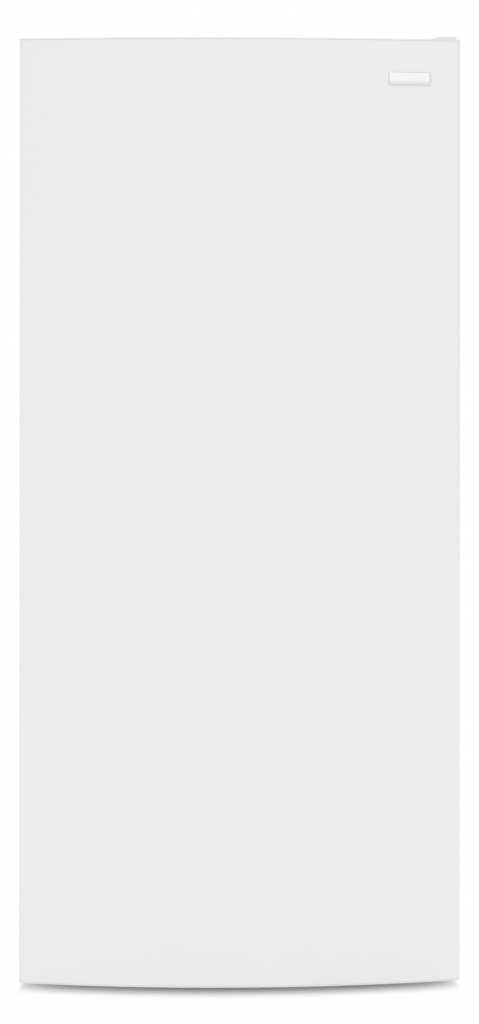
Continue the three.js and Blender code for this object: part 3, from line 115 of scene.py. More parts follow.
class Nodes:
    """A node tree and the shader at its end."""

    def __init__(self, tree, shader):
        self.tree = tree
        self.shader = tree.nodes[shader]

    def node(self, kind, values=None, output=0, **settings):
        node = with_settings(self.tree.nodes.new("ShaderNode" + kind), **settings)
        for key, value in (values or {}).items():
            if isinstance(value, Socket):
                self.tree.links.new(value.output, node.inputs[key])
            else:
                node.inputs[key].default_value = value
        if isinstance(output, tuple):
            return [Socket(self, node.outputs[each]) for each in output]
        return Socket(self, node.outputs[output])

    def feed(self, socket, value, node=None):
        self.tree.links.new(value.output, (node or self.shader).inputs[socket])

    def seen_directly(self):
        """1 for camera, mirror and glass rays, 0 for rays that carry light."""
        rays = self.node("LightPath", output=("Is Camera Ray", "Is Glossy Ray", "Is Transmission Ray"))
        return rays[0].over(rays[1]).over(rays[2])


class Finish(Nodes):
    """A material; `tint`, `gloss` and `grain` are an amount (`gloss`: low and spread), then a noise."""

    def __init__(self, slot, colour, roughness, variant="", tint=None, gloss=None, grain=None, **constants):
        self.slot = slot
        self.material = bpy.data.materials.new(slot + variant)
        self.material.use_nodes = True
        super().__init__(self.material.node_tree, "Principled BSDF")
        self.colour = (*colour, 1)
        constants |= {"Base Color": self.colour, "Roughness": roughness}
        for socket, value in constants.items():
            self.shader.inputs[socket.replace("_", " ")].default_value = value
        if tint:
            self.tint(self.noise(*tint[1:]), tint[0])
        if gloss:
            self.feed("Roughness", gloss[0] + self.noise(*gloss[2:]) * gloss[1])
        if grain:
            self.bump(self.noise(*grain[1:]), grain[0])
        print("finish", slot + variant)

    def place(self):
        return self.node("TexCoord", output="Object")

    def noise(self, scale, detail=2, stretch=(1, 1, 1)):
        point = self.node("VectorMath", {0: self.place(), 1: stretch}, operation="MULTIPLY")
        return self.node("TexNoise", {"Vector": point, "Scale": scale, "Detail": detail})

    def cells(self, scale, output=0):
        return self.node("TexVoronoi", {"Vector": self.place(), "Scale": scale}, output)

    def blend(self, factor, first, second):
        return self.node("Mix", {0: factor, 6: first, 7: second}, 2, data_type="RGBA")

    def bump(self, height, depth):
        self.feed("Normal", self.node("Bump", {"Height": height, "Strength": 1.0, "Distance": depth}))

    def tint(self, factor, share):
        """Let the colour vary by `share` with a factor from 0 to 1."""
        dark = tuple(c * (1 - share) for c in self.colour[:3]) + (1,)
        self.feed("Base Color", self.blend(factor, dark, self.colour))

# %% [markdown]
# ## Painted and moulded whites
#
# Almost all of a freezer is white, yet no two of its whites are alike. The casing is steel with baked enamel:
# glossy, with the faint dimpling called orange peel. The inside is polystyrene drawn over a mould, satin and
# nearly flat, and caps and controls have a fine spark-eroded grain.

# %% Enamel, liner and moulded plastic
enamel = Finish("enamel", (0.825, 0.84, 0.835), 0.3, tint=(0.018, 5, 3), gloss=(0.27, 0.07, 14, 4),
                grain=(0.00002, 420), Coat_Weight=0.25, Coat_Roughness=0.12)
liner = Finish("liner", (0.83, 0.85, 0.855), 0.38, tint=(0.025, 7, 3), gloss=(0.34, 0.1, 30, 3),
               grain=(0.00003, 160))
moulded = Finish("white_plastic", (0.81, 0.825, 0.82), 0.42, tint=(0.02, 22, 3), gloss=(0.38, 0.1, 90),
                 grain=(0.00002, 1500))
wire_coat = Finish("coated_wire", (0.85, 0.86, 0.86), 0.33, tint=(0.04, 60), grain=(0.00003, 600, 1),
                   Coat_Weight=0.3)

# %% [markdown]
# ## Rubber, foam and dark plastics
#
# The seal is plasticised vinyl: soft, matt, a little greyer than the liner and dusty in its folds. Behind
# every white wall lies polyurethane foam with closed cells. The dark parts of the machine bay are cheap
# mouldings and black paint, whose roughness varies more than their colour.

# %% Seal, insulation, grey and black
rubber = Finish("gasket", (0.66, 0.68, 0.69), 0.62, tint=(0.1, 40, 4), grain=(0.00005, 300))
grey = Finish("grey_plastic", (0.27, 0.29, 0.30), 0.5, tint=(0.12, 35, 3), grain=(0.00003, 900))
black = Finish("black_plastic", (0.014, 0.014, 0.016), 0.5, gloss=(0.42, 0.2, 60, 4), grain=(0.00003, 1100))
black_paint = Finish("black_steel", (0.012, 0.012, 0.013), 0.35, gloss=(0.26, 0.3, 26, 5),
                     grain=(0.00003, 700), Coat_Weight=0.2)

foam = Finish("foam", (0.78, 0.66, 0.36), 0.95)
foam.tint(foam.cells(500), 0.35)
foam.bump(foam.cells(380), 0.0004)

# %% [markdown]
# ## Bare metals
#
# Galvanised sheet shows its spangle: crystals of zinc a few millimetres wide, each with its own grey and
# gloss, which cell noise gives exactly. Plated brackets are finer and even. Copper goes patchy where it was
# brazed, and the badge's face is satin aluminium, brushed along its length, on a rim of the same metal
# painted darker as shade for its lower and right bevels.

# %% Zinc, aluminium, copper and the badge
galvanised = Finish("back_steel", (0.56, 0.57, 0.575), 0.42, grain=(0.00002, 240), Metallic=0.6)
spangle = galvanised.node("SeparateColor", {0: galvanised.cells(95, 1)})
galvanised.tint(spangle * 0.7 + galvanised.noise(6, 3) * 0.3, 0.11)
galvanised.feed("Roughness", 0.36 + spangle * 0.1)

zinc = Finish("zinc_steel", (0.56, 0.57, 0.58), 0.34, tint=(0.18, 45, 4), gloss=(0.28, 0.16, 110, 3),
              Metallic=0.9)
fin_metal = Finish("aluminium", (0.70, 0.71, 0.72), 0.32, tint=(0.15, 80, 3, (1, 1, 0.1)),
                   gloss=(0.26, 0.16, 120, 3), Metallic=0.95)
copper = Finish("copper", (0.62, 0.29, 0.16), 0.3, tint=(0.4, 50, 4), gloss=(0.2, 0.25, 90, 3), Metallic=1.0)
badge_metal = Finish("badge_metal", (0.86, 0.86, 0.86), 0.34, tint=(0.03, 500, 2, (0.02, 1, 1)),
                     gloss=(0.3, 0.08, 700, 2, (0.02, 1, 1)), Metallic=0.2)
# The rim is a darker copy of the badge's metal: painted shade for the badge's lower and right bevels.
badge_rim_painted_shade = Finish("badge_metal", (0.74, 0.74, 0.76), 0.34, "_rim", tint=(0.03, 300), Metallic=0.2)

# %% [markdown]
# ## Glass and clear plastic
#
# The shelves are float glass, green only where one looks along it, so the pane is nearly clear and its edge
# strip gets the green. The bins are clear polystyrene, scuffed by packets. A low alpha does better here than
# refraction: light still passes onto what lies behind. The lamp's lens is opal and glows, and the window of
# the display is smoked.

# %% Pane, edge, bins, lens and window
pane = Finish("shelf_glass", (0.80, 0.92, 0.88), 0.04, gloss=(0.03, 0.05, 18, 4), Alpha=0.2, Coat_Weight=0.5)
pane_edge = Finish("shelf_glass", (0.25, 0.50, 0.42), 0.12, "_edge", tint=(0.2, 30), Alpha=0.85)
window = Finish("display", (0.018, 0.02, 0.024), 0.1, gloss=(0.08, 0.08, 60, 3), Coat_Weight=0.5)

bin_clear = Finish("clear_plastic", (0.82, 0.88, 0.90), 0.12, gloss=(0.1, 0.16, 25, 5), Coat_Weight=0.3)
bin_clear.feed("Alpha", 0.24 + bin_clear.noise(12, 5) * 0.08)

opal = Finish("clear_plastic", (0.9, 0.91, 0.9), 0.3, "_opal", Transmission_Weight=0.2, Emission_Strength=9.0)
opal.feed("Emission Color", opal.blend(opal.noise(20), (0.9, 0.95, 1, 1), (1, 1, 1, 1)))

# %% [markdown]
# ## Making meshes from rings
#
# Nearly every piece is a section carried along something: a bent sheet, a drawn tray, a turned foot, a wire.
# So one helper joins rings of points into a skin, and the others say where the rings lie. Most are one flat
# outline that shrinks by an inset from level to level, which rounds an edge. Sizes are in millimetres until
# the mesh is made. Shading stays smooth except over sharp edges.

# %% Rings, outlines and the piece itself
MM = 0.001


def span(start, end, count):
    return [start + (end - start) * i / (count - 1) for i in range(count)]


def arc(u, v, radius, start, end, steps=6):
    """Points of an arc about (u, v), angles in degrees."""
    return [(u + radius * cos(radians(a)), v + radius * sin(radians(a))) for a in span(start, end, steps + 1)]


def rounded(u0, u1, v0, v1, radius, steps=6):
    """A rounded rectangle, anticlockwise from its lower right corner."""
    r = max(radius, 0.05)
    corners = ((u1 - r, v0 + r, -90), (u1 - r, v1 - r, 0), (u0 + r, v1 - r, 90), (u0 + r, v0 + r, 180))
    return [point for u, v, start in corners for point in arc(u, v, r, start, start + 90, steps)]


def shrunk(box, inset, radius, steps=6):
    """A rounded rectangle that lies inside the box (u0, u1, v0, v1) by an inset."""
    u0, u1, v0, v1 = box
    return rounded(u0 + inset, u1 - inset, v0 + inset, v1 - inset, radius, steps)


def loft(rings, closed=False, cap=(True, True), ring_closed=True):
    """Skin over rings of points; `closed` joins the last ring to the first."""
    n = len(rings[0])
    verts = [tuple(point) for ring in rings for point in ring]
    along = len(rings) if closed else len(rings) - 1
    around = n if ring_closed else n - 1
    faces = []
    for i in range(along):
        a, b = i * n, (i + 1) % len(rings) * n
        faces += [(a + j, a + (j + 1) % n, b + (j + 1) % n, b + j) for j in range(around)]
    if cap[0] and not closed:
        faces.append(tuple(reversed(range(n))))
    if cap[1] and not closed:
        faces.append(tuple(range(len(verts) - n, len(verts))))
    return verts, faces


def placed(outline, level, axis="z"):
    """A flat outline put in space, at a level along one axis."""
    at = "xyz".index(axis)
    return [(*point[:at], level, *point[at:]) for point in outline]


def prism(outline, levels, axis="z"):
    return loft([placed(outline, level, axis) for level in levels])


def stack(outline, rows, axis="z", **options):
    """Skin over (inset, level) rows of an outline that is a function of its inset."""
    return loft([placed(outline(inset), level, axis) for inset, level in rows], **options)


def merged(*parts):
    verts, faces = [], []
    for part_verts, part_faces in parts:
        start = len(verts)
        verts += part_verts
        faces += [tuple(start + i for i in face) for face in part_faces]
    return verts, faces


def moved(part, offset=(0, 0, 0), turn=None):
    """The part, turned about the origin and then shifted."""
    turn = turn or Matrix.Identity(3)
    return [tuple(turn @ Vector(v) + Vector(offset)) for v in part[0]], part[1]


def mesh_of(name, part):
    mesh = bpy.data.meshes.new(name)
    mesh.from_pydata([tuple(c * MM for c in v) for v in part[0]], [], part[1])
    work = bmesh.new()
    work.from_mesh(mesh)
    bmesh.ops.remove_doubles(work, verts=work.verts, dist=1e-6)
    bmesh.ops.dissolve_degenerate(work, edges=work.edges, dist=1e-6)
    bmesh.ops.recalc_face_normals(work, faces=work.faces)
    work.to_mesh(mesh)
    work.free()
    return mesh


def new_object(name, data):
    made = bpy.data.objects.new(name, data)
    bpy.context.scene.collection.objects.link(made)
    return made


def piece(name, part, finish, stands_for=(), body="cabinet", sharp=32):
    """An object that rides on a body and may stand for some of the frame's nodes."""
    mesh = mesh_of(name, part)
    mesh.materials.append(finish.material)
    mesh.shade_smooth()
    mesh.set_sharp_from_angle(angle=radians(sharp))
    made = new_object(name, mesh)
    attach(made, body)
    if stands_for:
        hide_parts(*stands_for)
    print(f"{name}: {len(mesh.polygons)} faces on {body}")
    return made

# %% [markdown]
# ## Cutting, turning and bending
#
# Four more ways of making a part cover the rest: a lathe turns a profile, for feet, rollers and bushes; a
# tube follows a bent path without twisting, for wire and pipe; a pillow is a block with every edge rounded;
# and openings are cut with an exact boolean, or left in a flat sheet by filling a curve that has holes.

# %% Lathe, tube, pillow, cutter and sheet
TO_X = Matrix(((0, 0, 1), (1, 0, 0), (0, 1, 0)))    # a turned piece's axis points along +X
TO_BACK = Matrix(((1, 0, 0), (0, 0, 1), (0, -1, 0)))    # along +Y
TO_FRONT = Matrix(((1, 0, 0), (0, 0, -1), (0, 1, 0)))    # along -Y; a flat sheet stands upright
MIRROR = Matrix.Diagonal((-1, 1, 1))    # left and right change places


def lathe(profile, segments=40, closed=False):
    """A turned part about Z, from (radius, height) points; a closed profile leaves a hole."""
    circle = [2 * pi * i / segments for i in range(segments)]
    rings = [[(max(r, 0.01) * cos(a), max(r, 0.01) * sin(a), h) for a in circle] for r, h in profile]
    return loft(rings, closed)


def tube(path, radius, sides=8, closed=False):
    """A round bar along a path; the section turns only as much as the path does."""
    points = [Vector(p) for p in path]
    count = len(points)
    side = Vector((0.31, 0.17, 0.93))
    rings = []
    for i, point in enumerate(points):
        before = points[i - 1] if i or closed else point
        after = points[(i + 1) % count] if i < count - 1 or closed else point
        along = (after - before).normalized()
        side = (side - along * side.dot(along)).normalized()
        other = along.cross(side)
        angles = [2 * pi * k / sides for k in range(sides)]
        rings.append([point + (side * cos(a) + other * sin(a)) * radius for a in angles])
    return loft(rings, closed)


def bent(corners, radius, closed=False, steps=4):
    """The corner points of a path, with each bend rounded."""
    points = [Vector(c) for c in corners]
    path = []
    for i, point in enumerate(points):
        if not closed and i in (0, len(points) - 1):
            path.append(point)
            continue
        before, after = points[i - 1] - point, points[(i + 1) % len(points)] - point
        a = point + before.normalized() * min(radius, before.length / 2)
        b = point + after.normalized() * min(radius, after.length / 2)
        path += [a * (1 - t) ** 2 + point * 2 * t * (1 - t) + b * t * t for t in span(0, 1, steps + 1)]
    return path


def pillow(x, y, z, radius, steps=3):
    """A block within the limits x, y and z, with every edge rounded."""
    rows = []
    for height, way in ((z[0] + radius, -1), (z[1] - radius, 1)):
        for a in span(0, 90, steps + 1)[::way]:
            rows.append((radius * (1 - cos(radians(a))), height + way * radius * sin(radians(a))))
    return stack(lambda inset: shrunk((*x, *y), inset, radius - inset, steps), rows)


def evaluated(holder):
    """The part that an object's modifiers or curve give; the object itself is deleted."""
    mesh = bpy.data.meshes.new_from_object(holder.evaluated_get(bpy.context.evaluated_depsgraph_get()))
    part = [tuple(v.co / MM) for v in mesh.vertices], [tuple(p.vertices) for p in mesh.polygons]
    bpy.data.objects.remove(holder)
    return part


def carved(part, *cutters):
    holder = new_object("work", mesh_of("work", part))
    tools = [new_object("tool", mesh_of("tool", cutter)) for cutter in cutters]
    for tool in tools:
        with_settings(holder.modifiers.new("cut", "BOOLEAN"), object=tool, solver="EXACT")
    result = evaluated(holder)
    for tool in tools:
        bpy.data.objects.remove(tool)
    return result


def sheet(outline, holes, thickness, edge=0.2):
    """A flat sheet with openings, in the (x, y) plane and centred on z = 0."""
    flat = with_settings(bpy.data.curves.new("sheet", "CURVE"), dimensions="2D", fill_mode="BOTH",
                         extrude=(thickness / 2 - edge) * MM, bevel_depth=edge * MM, bevel_resolution=0,
                         offset=-edge * MM)
    for loop in (outline, *holes):
        spline = flat.splines.new("POLY")
        spline.points.add(len(loop) - 1)
        spline.use_cyclic_u = True
        for point, (u, v) in zip(spline.points, loop):
            point.co = (u * MM, v * MM, 0, 1)
    return evaluated(new_object("sheet", flat))

# %% [markdown]
# ## Keeping a node and breaking its edges
#
# Where the frame's own shape is right, the node stays and only its edges are softened, for no real edge is
# perfectly sharp. Modifiers weld its triangles, dissolve the flat ones into whole faces, and round what is
# left; the frame's mesh is not touched.

# %% Soft edges on the frame's own nodes
def dress(name, finish, edge=0.6):
    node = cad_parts[name]
    node.data.materials.clear()
    node.data.materials.append(finish.material)
    for attribute in [a for a in node.data.attributes if a.name == "custom_normal"]:
        node.data.attributes.remove(attribute)
    node.data.shade_smooth()
    add = node.modifiers.new
    with_settings(add("weld", "WELD"), merge_threshold=1e-6)
    with_settings(add("flat", "DECIMATE"), decimate_type="DISSOLVE", angle_limit=radians(1))
    with_settings(add("bevel", "BEVEL"), width=edge * MM, segments=2, angle_limit=radians(35),
                  harden_normals=True)
    print(f"{name}: kept, edges {edge} mm")

# %% [markdown]
# ## The bowed door skin
#
# The front is one steel sheet, rolled to a radius of about three metres, wrapped round both upright edges
# and turned in behind. Its section is drawn from above and pushed upwards, which keeps the bow a true arc.
# Then the finger recess is cut in the left side, and the notch for the hinge at the top right.

# %% Outline of the door and its skin
HALF = 355.5    # half of the outer width
DOOR_BACK = -295.5
DOOR_LOW, DOOR_HIGH = 40, 1557
EDGE_DEPTH, BOW, CORNER = 48, 20, 8
BOW_RADIUS = HALF ** 2 / (2 * BOW) + BOW / 2
SHEET = 0.8
CAP_RIM = 2.5
SEAM = 0.3
FINGER = (-337.5, -307.5, 860, 1140)    # the recess, as y and z limits
HINGE_AXIS = (341.5, -320.5)


def bow(x, inset=0):
    radius = BOW_RADIUS - inset
    return DOOR_BACK - EDGE_DEPTH - BOW + inset + radius - sqrt(radius ** 2 - x ** 2)


def door_outline(inset=0, back=DOOR_BACK, steps=81):
    half, corner = HALF - inset, CORNER - inset
    side, front = bow(half, inset), bow(half - corner, inset)
    turn = [(-half + corner * t * t, (side + corner * (1 - t)) * (1 - t) + side * t * (1 - t) + front * t * t)
            for t in span(0, 1, 9)]
    left = [(-half, back)] + turn
    middle = [(x, bow(x, inset)) for x in span(corner - half, half - corner, steps)][1:-1]
    return left + middle + [(-x, y) for x, y in reversed(left)]


lip = HALF - 14
section = ([(-lip, DOOR_BACK)] + door_outline() + [(lip, DOOR_BACK), (lip, DOOR_BACK - SHEET)]
           + door_outline(SHEET, DOOR_BACK - SHEET)[::-1] + [(-lip, DOOR_BACK - SHEET)])
skin_z = (DOOR_LOW + CAP_RIM + SEAM, DOOR_HIGH - CAP_RIM - SEAM)
finger_cut = prism(rounded(*FINGER, 7), (-HALF - 5, -HALF + 20), "x")
notch = prism(rounded(297.5, HALF + 30, -338.5, DOOR_BACK + 20, 5), (1543, 1560))
skin = carved(prism(section, skin_z), finger_cut, notch)
piece("door_skin_sheet", skin, enamel, ["door_skin"], "door")

# %% [markdown]
# ## End caps
#
# Each cap is a moulding with a thin rim the size of the door and a plug inside the skin. Where the rim meets
# the skin a hair-line seam stays, the one fine line across the top of the front. Outlines of shrinking size
# make the rounding, and the hinge's bore and notch are cut.

# %% Top and bottom cap
PLUG_BACK, PLUG_DEPTH, ROUNDING = -304.8, 20, 1.3


def door_cap(flip):
    level = (lambda z: DOOR_LOW + DOOR_HIGH - z) if flip else (lambda z: z)
    plug, rim = SHEET + SEAM, DOOR_HIGH - CAP_RIM
    rows = [(rim - PLUG_DEPTH, plug, PLUG_BACK), (rim, plug, PLUG_BACK), (rim, 0, DOOR_BACK)]
    rows += [(z, ROUNDING - u, DOOR_BACK - ROUNDING + u)
             for u, z in arc(0, DOOR_HIGH - ROUNDING, ROUNDING, 0, 90, 4)]
    cap = loft([placed(door_outline(inset, back), level(z)) for z, inset, back in rows])
    bore = prism(arc(*HINGE_AXIS, 4.4, 0, 345, 23), (level(1528), level(1560)))
    return carved(cap, bore) if flip else carved(cap, bore, notch)


piece("door_cap_top", door_cap(False), moulded, ["door_top_cap"], "door")
piece("door_cap_bottom", door_cap(True), moulded, ["door_bottom_cap"], "door")

# %% [markdown]
# ## Finger recess and badge
#
# The door has no handle; fingers go into a moulded cup in its left side, drawn inwards from a rounded lip
# with a slight draft. The badge is a small pressed plate near the top right. It is bare: a rim darkened as
# painted shade, broadest along its lower and right edges, and a brighter face just proud of it.

# %% Cup and badge
CUP_DRAFT, CUP_FLOOR, CUP_FILLET = 4.2, -331, 4.5
cup_rows = [(0.3, -355.35), (1.6, -355.35), (2.4, -354.9), (2.8, -353.8), (CUP_DRAFT, CUP_FLOOR)]
cup_rows += [(CUP_DRAFT + CUP_FILLET - u, CUP_FLOOR + v) for u, v in arc(0, 0, CUP_FILLET, 0, 90, 4)]
cup = stack(lambda inset: shrunk(FINGER, inset, 7), cup_rows, "x", cap=(False, True))
piece("finger_cup", cup, moulded, ["handle_pocket"], "door")

badge_x, badge_z = 272, 1492.5
tangent = Matrix.Rotation(asin(badge_x / BOW_RADIUS), 3, "Z")
badge_at = (badge_x, bow(badge_x) - 0.3, badge_z)
rim_rows = [(0, 0), (0, -0.35), (0.25, -0.7), (1.7, -1.35), (2.1, -1.45), (7, -1.6)]
face_rows = [(0, -0.6), (0, -1.6), (0.25, -1.78), (2, -1.85), (5, -1.9)]
rim = stack(lambda inset: shrunk((-34.4, 34.4, -10.2, 10.2), inset, 1.6, 4), rim_rows, "y")
# The face sits up and to the left on the rim, so the rim's painted shade shows broadest below and to the
# right.
face = stack(lambda inset: shrunk((-33.7, 31.9, -5.3, 9.6), inset, 1, 4), face_rows, "y")
piece("badge_rim_painted_shade", moved(rim, badge_at, tangent), badge_rim_painted_shade, ["badge_plate"], "door", 50)
piece("badge_face", moved(face, badge_at, tangent), badge_metal, ["badge_plate"], "door", 50)

# %% [markdown]
# ## Door liner
#
# The back of the door is a vacuum-formed sheet: a flat rim for the seal, a raised frame that reaches into
# the room, and a pocket inside it that carries the bins. A former leaves a fillet at every change of
# level, so the sheet is a stack of rounded rectangles.

# %% Rim, raised frame, pocket and bin lugs
RIM = (341.2, 42.8, 1554.2)
FRAME = (273.5, 112, 1465)
POCKET = (239.5, 146, 1431)
BIN_LEVELS = (158, 423.5, 689, 954.5, 1220)


def flat(box, grow, radius, y):
    """A rounded rectangle in the plane y; the box is (half width, bottom, top)."""
    half, low, high = box
    return placed(shrunk((-half, half, low, high), -grow, radius + grow), y, "y")


rings = [flat(RIM, 0, 3, -304.5), flat(RIM, 0, 3, -296.3), flat(RIM, -0.8, 3, DOOR_BACK)]
rings += [flat(FRAME, 5 - u, 28, DOOR_BACK + 5 - v) for u, v in arc(0, 0, 5, 90, 0, 5)]
rings += [flat(FRAME, u - 8, 28, -251.5 + v) for u, v in arc(0, 0, 8, 0, 90, 6)]
rings += [flat(POCKET, u, 18, -251.5 + v) for u, v in arc(8, 0, -8, -90, 0, 6)]
rings += [flat(POCKET, -5 + u, 18, -286.5 - v) for u, v in arc(0, 0, 5, 0, 90, 5)]
door_sheet = carved(loft(rings), notch)
lugs = [moved(pillow((230.3, 241), (-293, -245.5), (level - 12.3, level - 0.3), 2.5), turn=side)
        for level in BIN_LEVELS for side in (None, MIRROR)]
piece("door_liner_sheet", merged(door_sheet, *lugs), liner, ["door_liner"], "door")

core = prism(door_outline(1.3, -304.9), (63, 1534))
raised = loft([flat(FRAME, -inset, 28, y) for inset, y in ((2.8, -310), (2.8, -254.5), (8, -248))])
hollow = loft([flat(POCKET, 3, 18, y) for y in (-294.6, -240)])
finger_room = prism(rounded(-338, -307, 859, 1141, 5), (-HALF - 5, -323), "x")
hinge_room = [prism(rounded(297, HALF + 30, -339, -290, 5), ends) for ends in ((1519, 1560), (40, 78))]
filling = merged(carved(core, finger_room, *hinge_room), carved(raised, hollow))
piece("door_filling", filling, foam, ["door_foam"], "door")

# %% [markdown]
# ## Magnetic seal
#
# The seal is an extruded profile welded into a frame: a base pressed into the liner's groove, a bellows
# that lets it follow the cabinet, and a flat sleeve for the magnet. One closed outline is carried round the
# door with tight corners.

# %% Seal with its bellows
SEAL = (328.5, 67, 1530)
half_profile = [(9, -295.2), (9, -294.1), (4.6, -293.7), (6.8, -292.6), (7, -291.4), (4.8, -290.2),
                (4.4, -289.6), (6, -289.1), (6.2, -284.5), (5.6, -283.8)]
profile = half_profile + [(-g, y) for g, y in reversed(half_profile)]
seal = loft([flat(SEAL, grow, 10, y) for grow, y in profile], closed=True)
piece("magnetic_seal", seal, rubber, ["door_gasket"], "door", 40)

# %% [markdown]
# ## Door bins
#
# The bins are clear trays that hang on the lugs. An even wall, a rounded foot and a thicker rolled rim make
# them read as moulded, so the outline from above is stacked up the outside, over the rim and down inside.

# %% Five bins
def bin_outline(inset):
    half, front, back = 237.5 - inset, -187.2 - inset, -291.2 + inset
    c = max(22 - inset, 4)
    return ([(-half, back), (half, back)] + arc(half - c, front - c, c, 0, 90, 8)
            + arc(c - half, front - c, c, 90, 180, 8))


for number, (level, height) in enumerate(zip(BIN_LEVELS, (120, 95, 95, 95, 80)), 1):
    rows = [(7, 0), (4.2, 0.8), (3.2, 3.5), (1.8, height - 9), (0.3, height - 8), (0, height - 7)]
    rows += [(0, height - 1.5), (0.6, height - 0.4), (1.6, height), (3, height), (3.9, height - 0.6)]
    rows += [(4.2, height - 2), (4.4, height - 9), (5.6, 6), (6.6, 3.4), (9, 2.5)]
    shell = stack(bin_outline, [(inset, level + z) for inset, z in rows])
    piece(f"bin_{number}", shell, bin_clear, [f"door_bin_{number}"], "door")

# %% [markdown]
# ## Cabinet casing
#
# The casing is one strip of steel folded over the top, with small bends at the upper corners and narrow
# flanges at the front and the back. Every section from front to back is the same arch with another inset, so
# the whole casing is one loft.

# %% Folded wrapper
CASE_LOW, CASE_TOP, CASE_FRONT, CASE_BACK = 30, 1545, -283.5, 359.4
BEND = 4


def arch(inset):
    side, top = HALF - inset, CASE_TOP - inset
    r = max(BEND - inset, 0.4)
    left = [(-side, CASE_LOW)] + [(-u, v) for u, v in arc(side - r, top - r, r, 0, 90, 6)]
    return left + [(-u, v) for u, v in reversed(left)]


case_rows = [(34, CASE_FRONT + SHEET), (34, CASE_FRONT), (1.4, CASE_FRONT), (0.6, CASE_FRONT + 0.4)]
case_rows += [(0, CASE_FRONT + 1.4), (0, 357.8), (0.5, 358.9), (1.5, CASE_BACK), (14, CASE_BACK)]
case_rows += [(14, CASE_BACK - SHEET), (SHEET, CASE_BACK - SHEET), (SHEET, CASE_FRONT + SHEET)]
folded = stack(arch, case_rows, "y", closed=True, ring_closed=False)
piece("casing", folded, enamel, ["cabinet_wrapper"])

# %% [markdown]
# ## Back panel
#
# The back is galvanised sheet, stiffened by four long beads rolled into it. It is a grid of points whose
# depth rises smoothly at each bead, so the beads fade in without a crease. One screw with a hex washer head
# is modelled and set many times.

# %% Beaded sheet and its screws
BEADS = (407.5, 732.5, 1057.5, 1382.5)
PANEL_FACE = 360.5
SCREW_SEAT, SCREW_X = 360.3, 345


def ease(t):
    t = min(max(t, 0), 1)
    return t * t * (3 - 2 * t)


def bead(x, z):
    along = ease((287.5 - abs(x)) / 12)
    return 3 * along * max(ease((13 - abs(z - b)) / 7) for b in BEADS)


def screw(x, y, z, turn=TO_BACK, size=1.0):
    washer = lathe([(0, 0), (5.2 * size, 0), (5.4 * size, 0.5), (4.2 * size, 1.0), (0, 1.0)], 20)
    head = lathe([(0, 0.8), (3.6 * size, 0.8), (3.6 * size, 2.2), (3.0 * size, 2.8), (0, 2.8)], 6)
    return moved(merged(washer, head), (x, y, z), turn)


ends = span(270, 292, 8)
back_columns = sorted({*span(-352, 352, 9), *ends, *(-x for x in ends)})
back_rows = sorted({247.5, 1541.5} | {b + d for b in BEADS for d in span(-14, 14, 15)})
outer = [[(x, PANEL_FACE + bead(x, z), z) for x in back_columns] for z in back_rows]
back_sheet = loft([row + [(x, y - SHEET, z) for x, y, z in reversed(row)] for row in outer])
edge_screws = [screw(x, SCREW_SEAT, z) for x in (-SCREW_X, SCREW_X) for z in span(262, 1527, 6)]
edge_screws += [screw(x, SCREW_SEAT, 1534) for x in (-207, -69, 69, 207)]
piece("beaded_back", merged(back_sheet, *edge_screws), galvanised, ["back_panel"])

# %% [markdown]
# ## Hinge cover
#
# The top hinge hides under a low moulded cap. From the front its left side slopes in a long curve and its
# right end rounds over. The front outline is stacked from front to back, smaller at both ends.

# %% Low cover over the hinge
def curve(a, b, c, steps=9):
    """A parabola from a to c that leaves a towards b and reaches c from b."""
    return [tuple((1 - t) ** 2 * p + 2 * t * (1 - t) * q + t * t * r for p, q, r in zip(a, b, c))
            for t in span(0, 1, steps)]


def hinge_outline(inset):
    left, right, low, high = 297.6 + inset, 351.5 - inset, 1545.3, 1564 - inset
    slope = curve((left, low + 8), (left + 12, high), (left + 34, high))
    shoulder = curve((right - 6, high), (right, high), (right, low + 11))
    return [(left, low)] + slope + shoulder + [(right, low)]


hinge_rows = [(3, -332.5), (1.2, -332.0), (0.3, -330.8), (0, -329), (0, -206), (0.3, -204), (1.2, -202.9),
              (3, -202.5)]
piece("hinge_cover", stack(hinge_outline, hinge_rows, "y"), moulded, ["top_hinge_cover"], sharp=40)

# %% [markdown]
# ## Cabinet liner
#
# The inside is one deep-drawn sheet as well. Its flange lies against the seal, its walls run straight back,
# and the floor steps up over the machine bay. Ledges pressed out of the side walls hold the shelves at
# nine heights, and a lower pair carries the basket.

# %% Drawn liner, ledges and rails
FLANGE = (321.2, 80.3, 1510.7)
ROOM = (293.5, 92, 1485)
HUMP_TOP, HUMP_FRONT, ROOM_BACK = 295, 88.5, 293.5
WALL = 2.3


def across(outline, x0, x1, rounding):
    """Carry an outline in (y, z) along X and round both ends."""
    start = [(rounding - u, x0 + rounding - v) for u, v in arc(0, 0, rounding, 90, 0, 4)]
    return stack(outline, start + [(inset, x0 + x1 - x) for inset, x in reversed(start)], "x")


def hump_side(depth):
    """One face of the step over the machine bay, at a depth into the sheet."""
    foot, nose = (HUMP_FRONT - 8, ROOM[1] + 8, 8 + depth), (HUMP_FRONT + 10, HUMP_TOP - 10, 10 - depth)
    return arc(*foot, -90, 0, 5) + arc(*nose, 180, 90, 6) + [(ROOM_BACK + 1, HUMP_TOP - depth)]


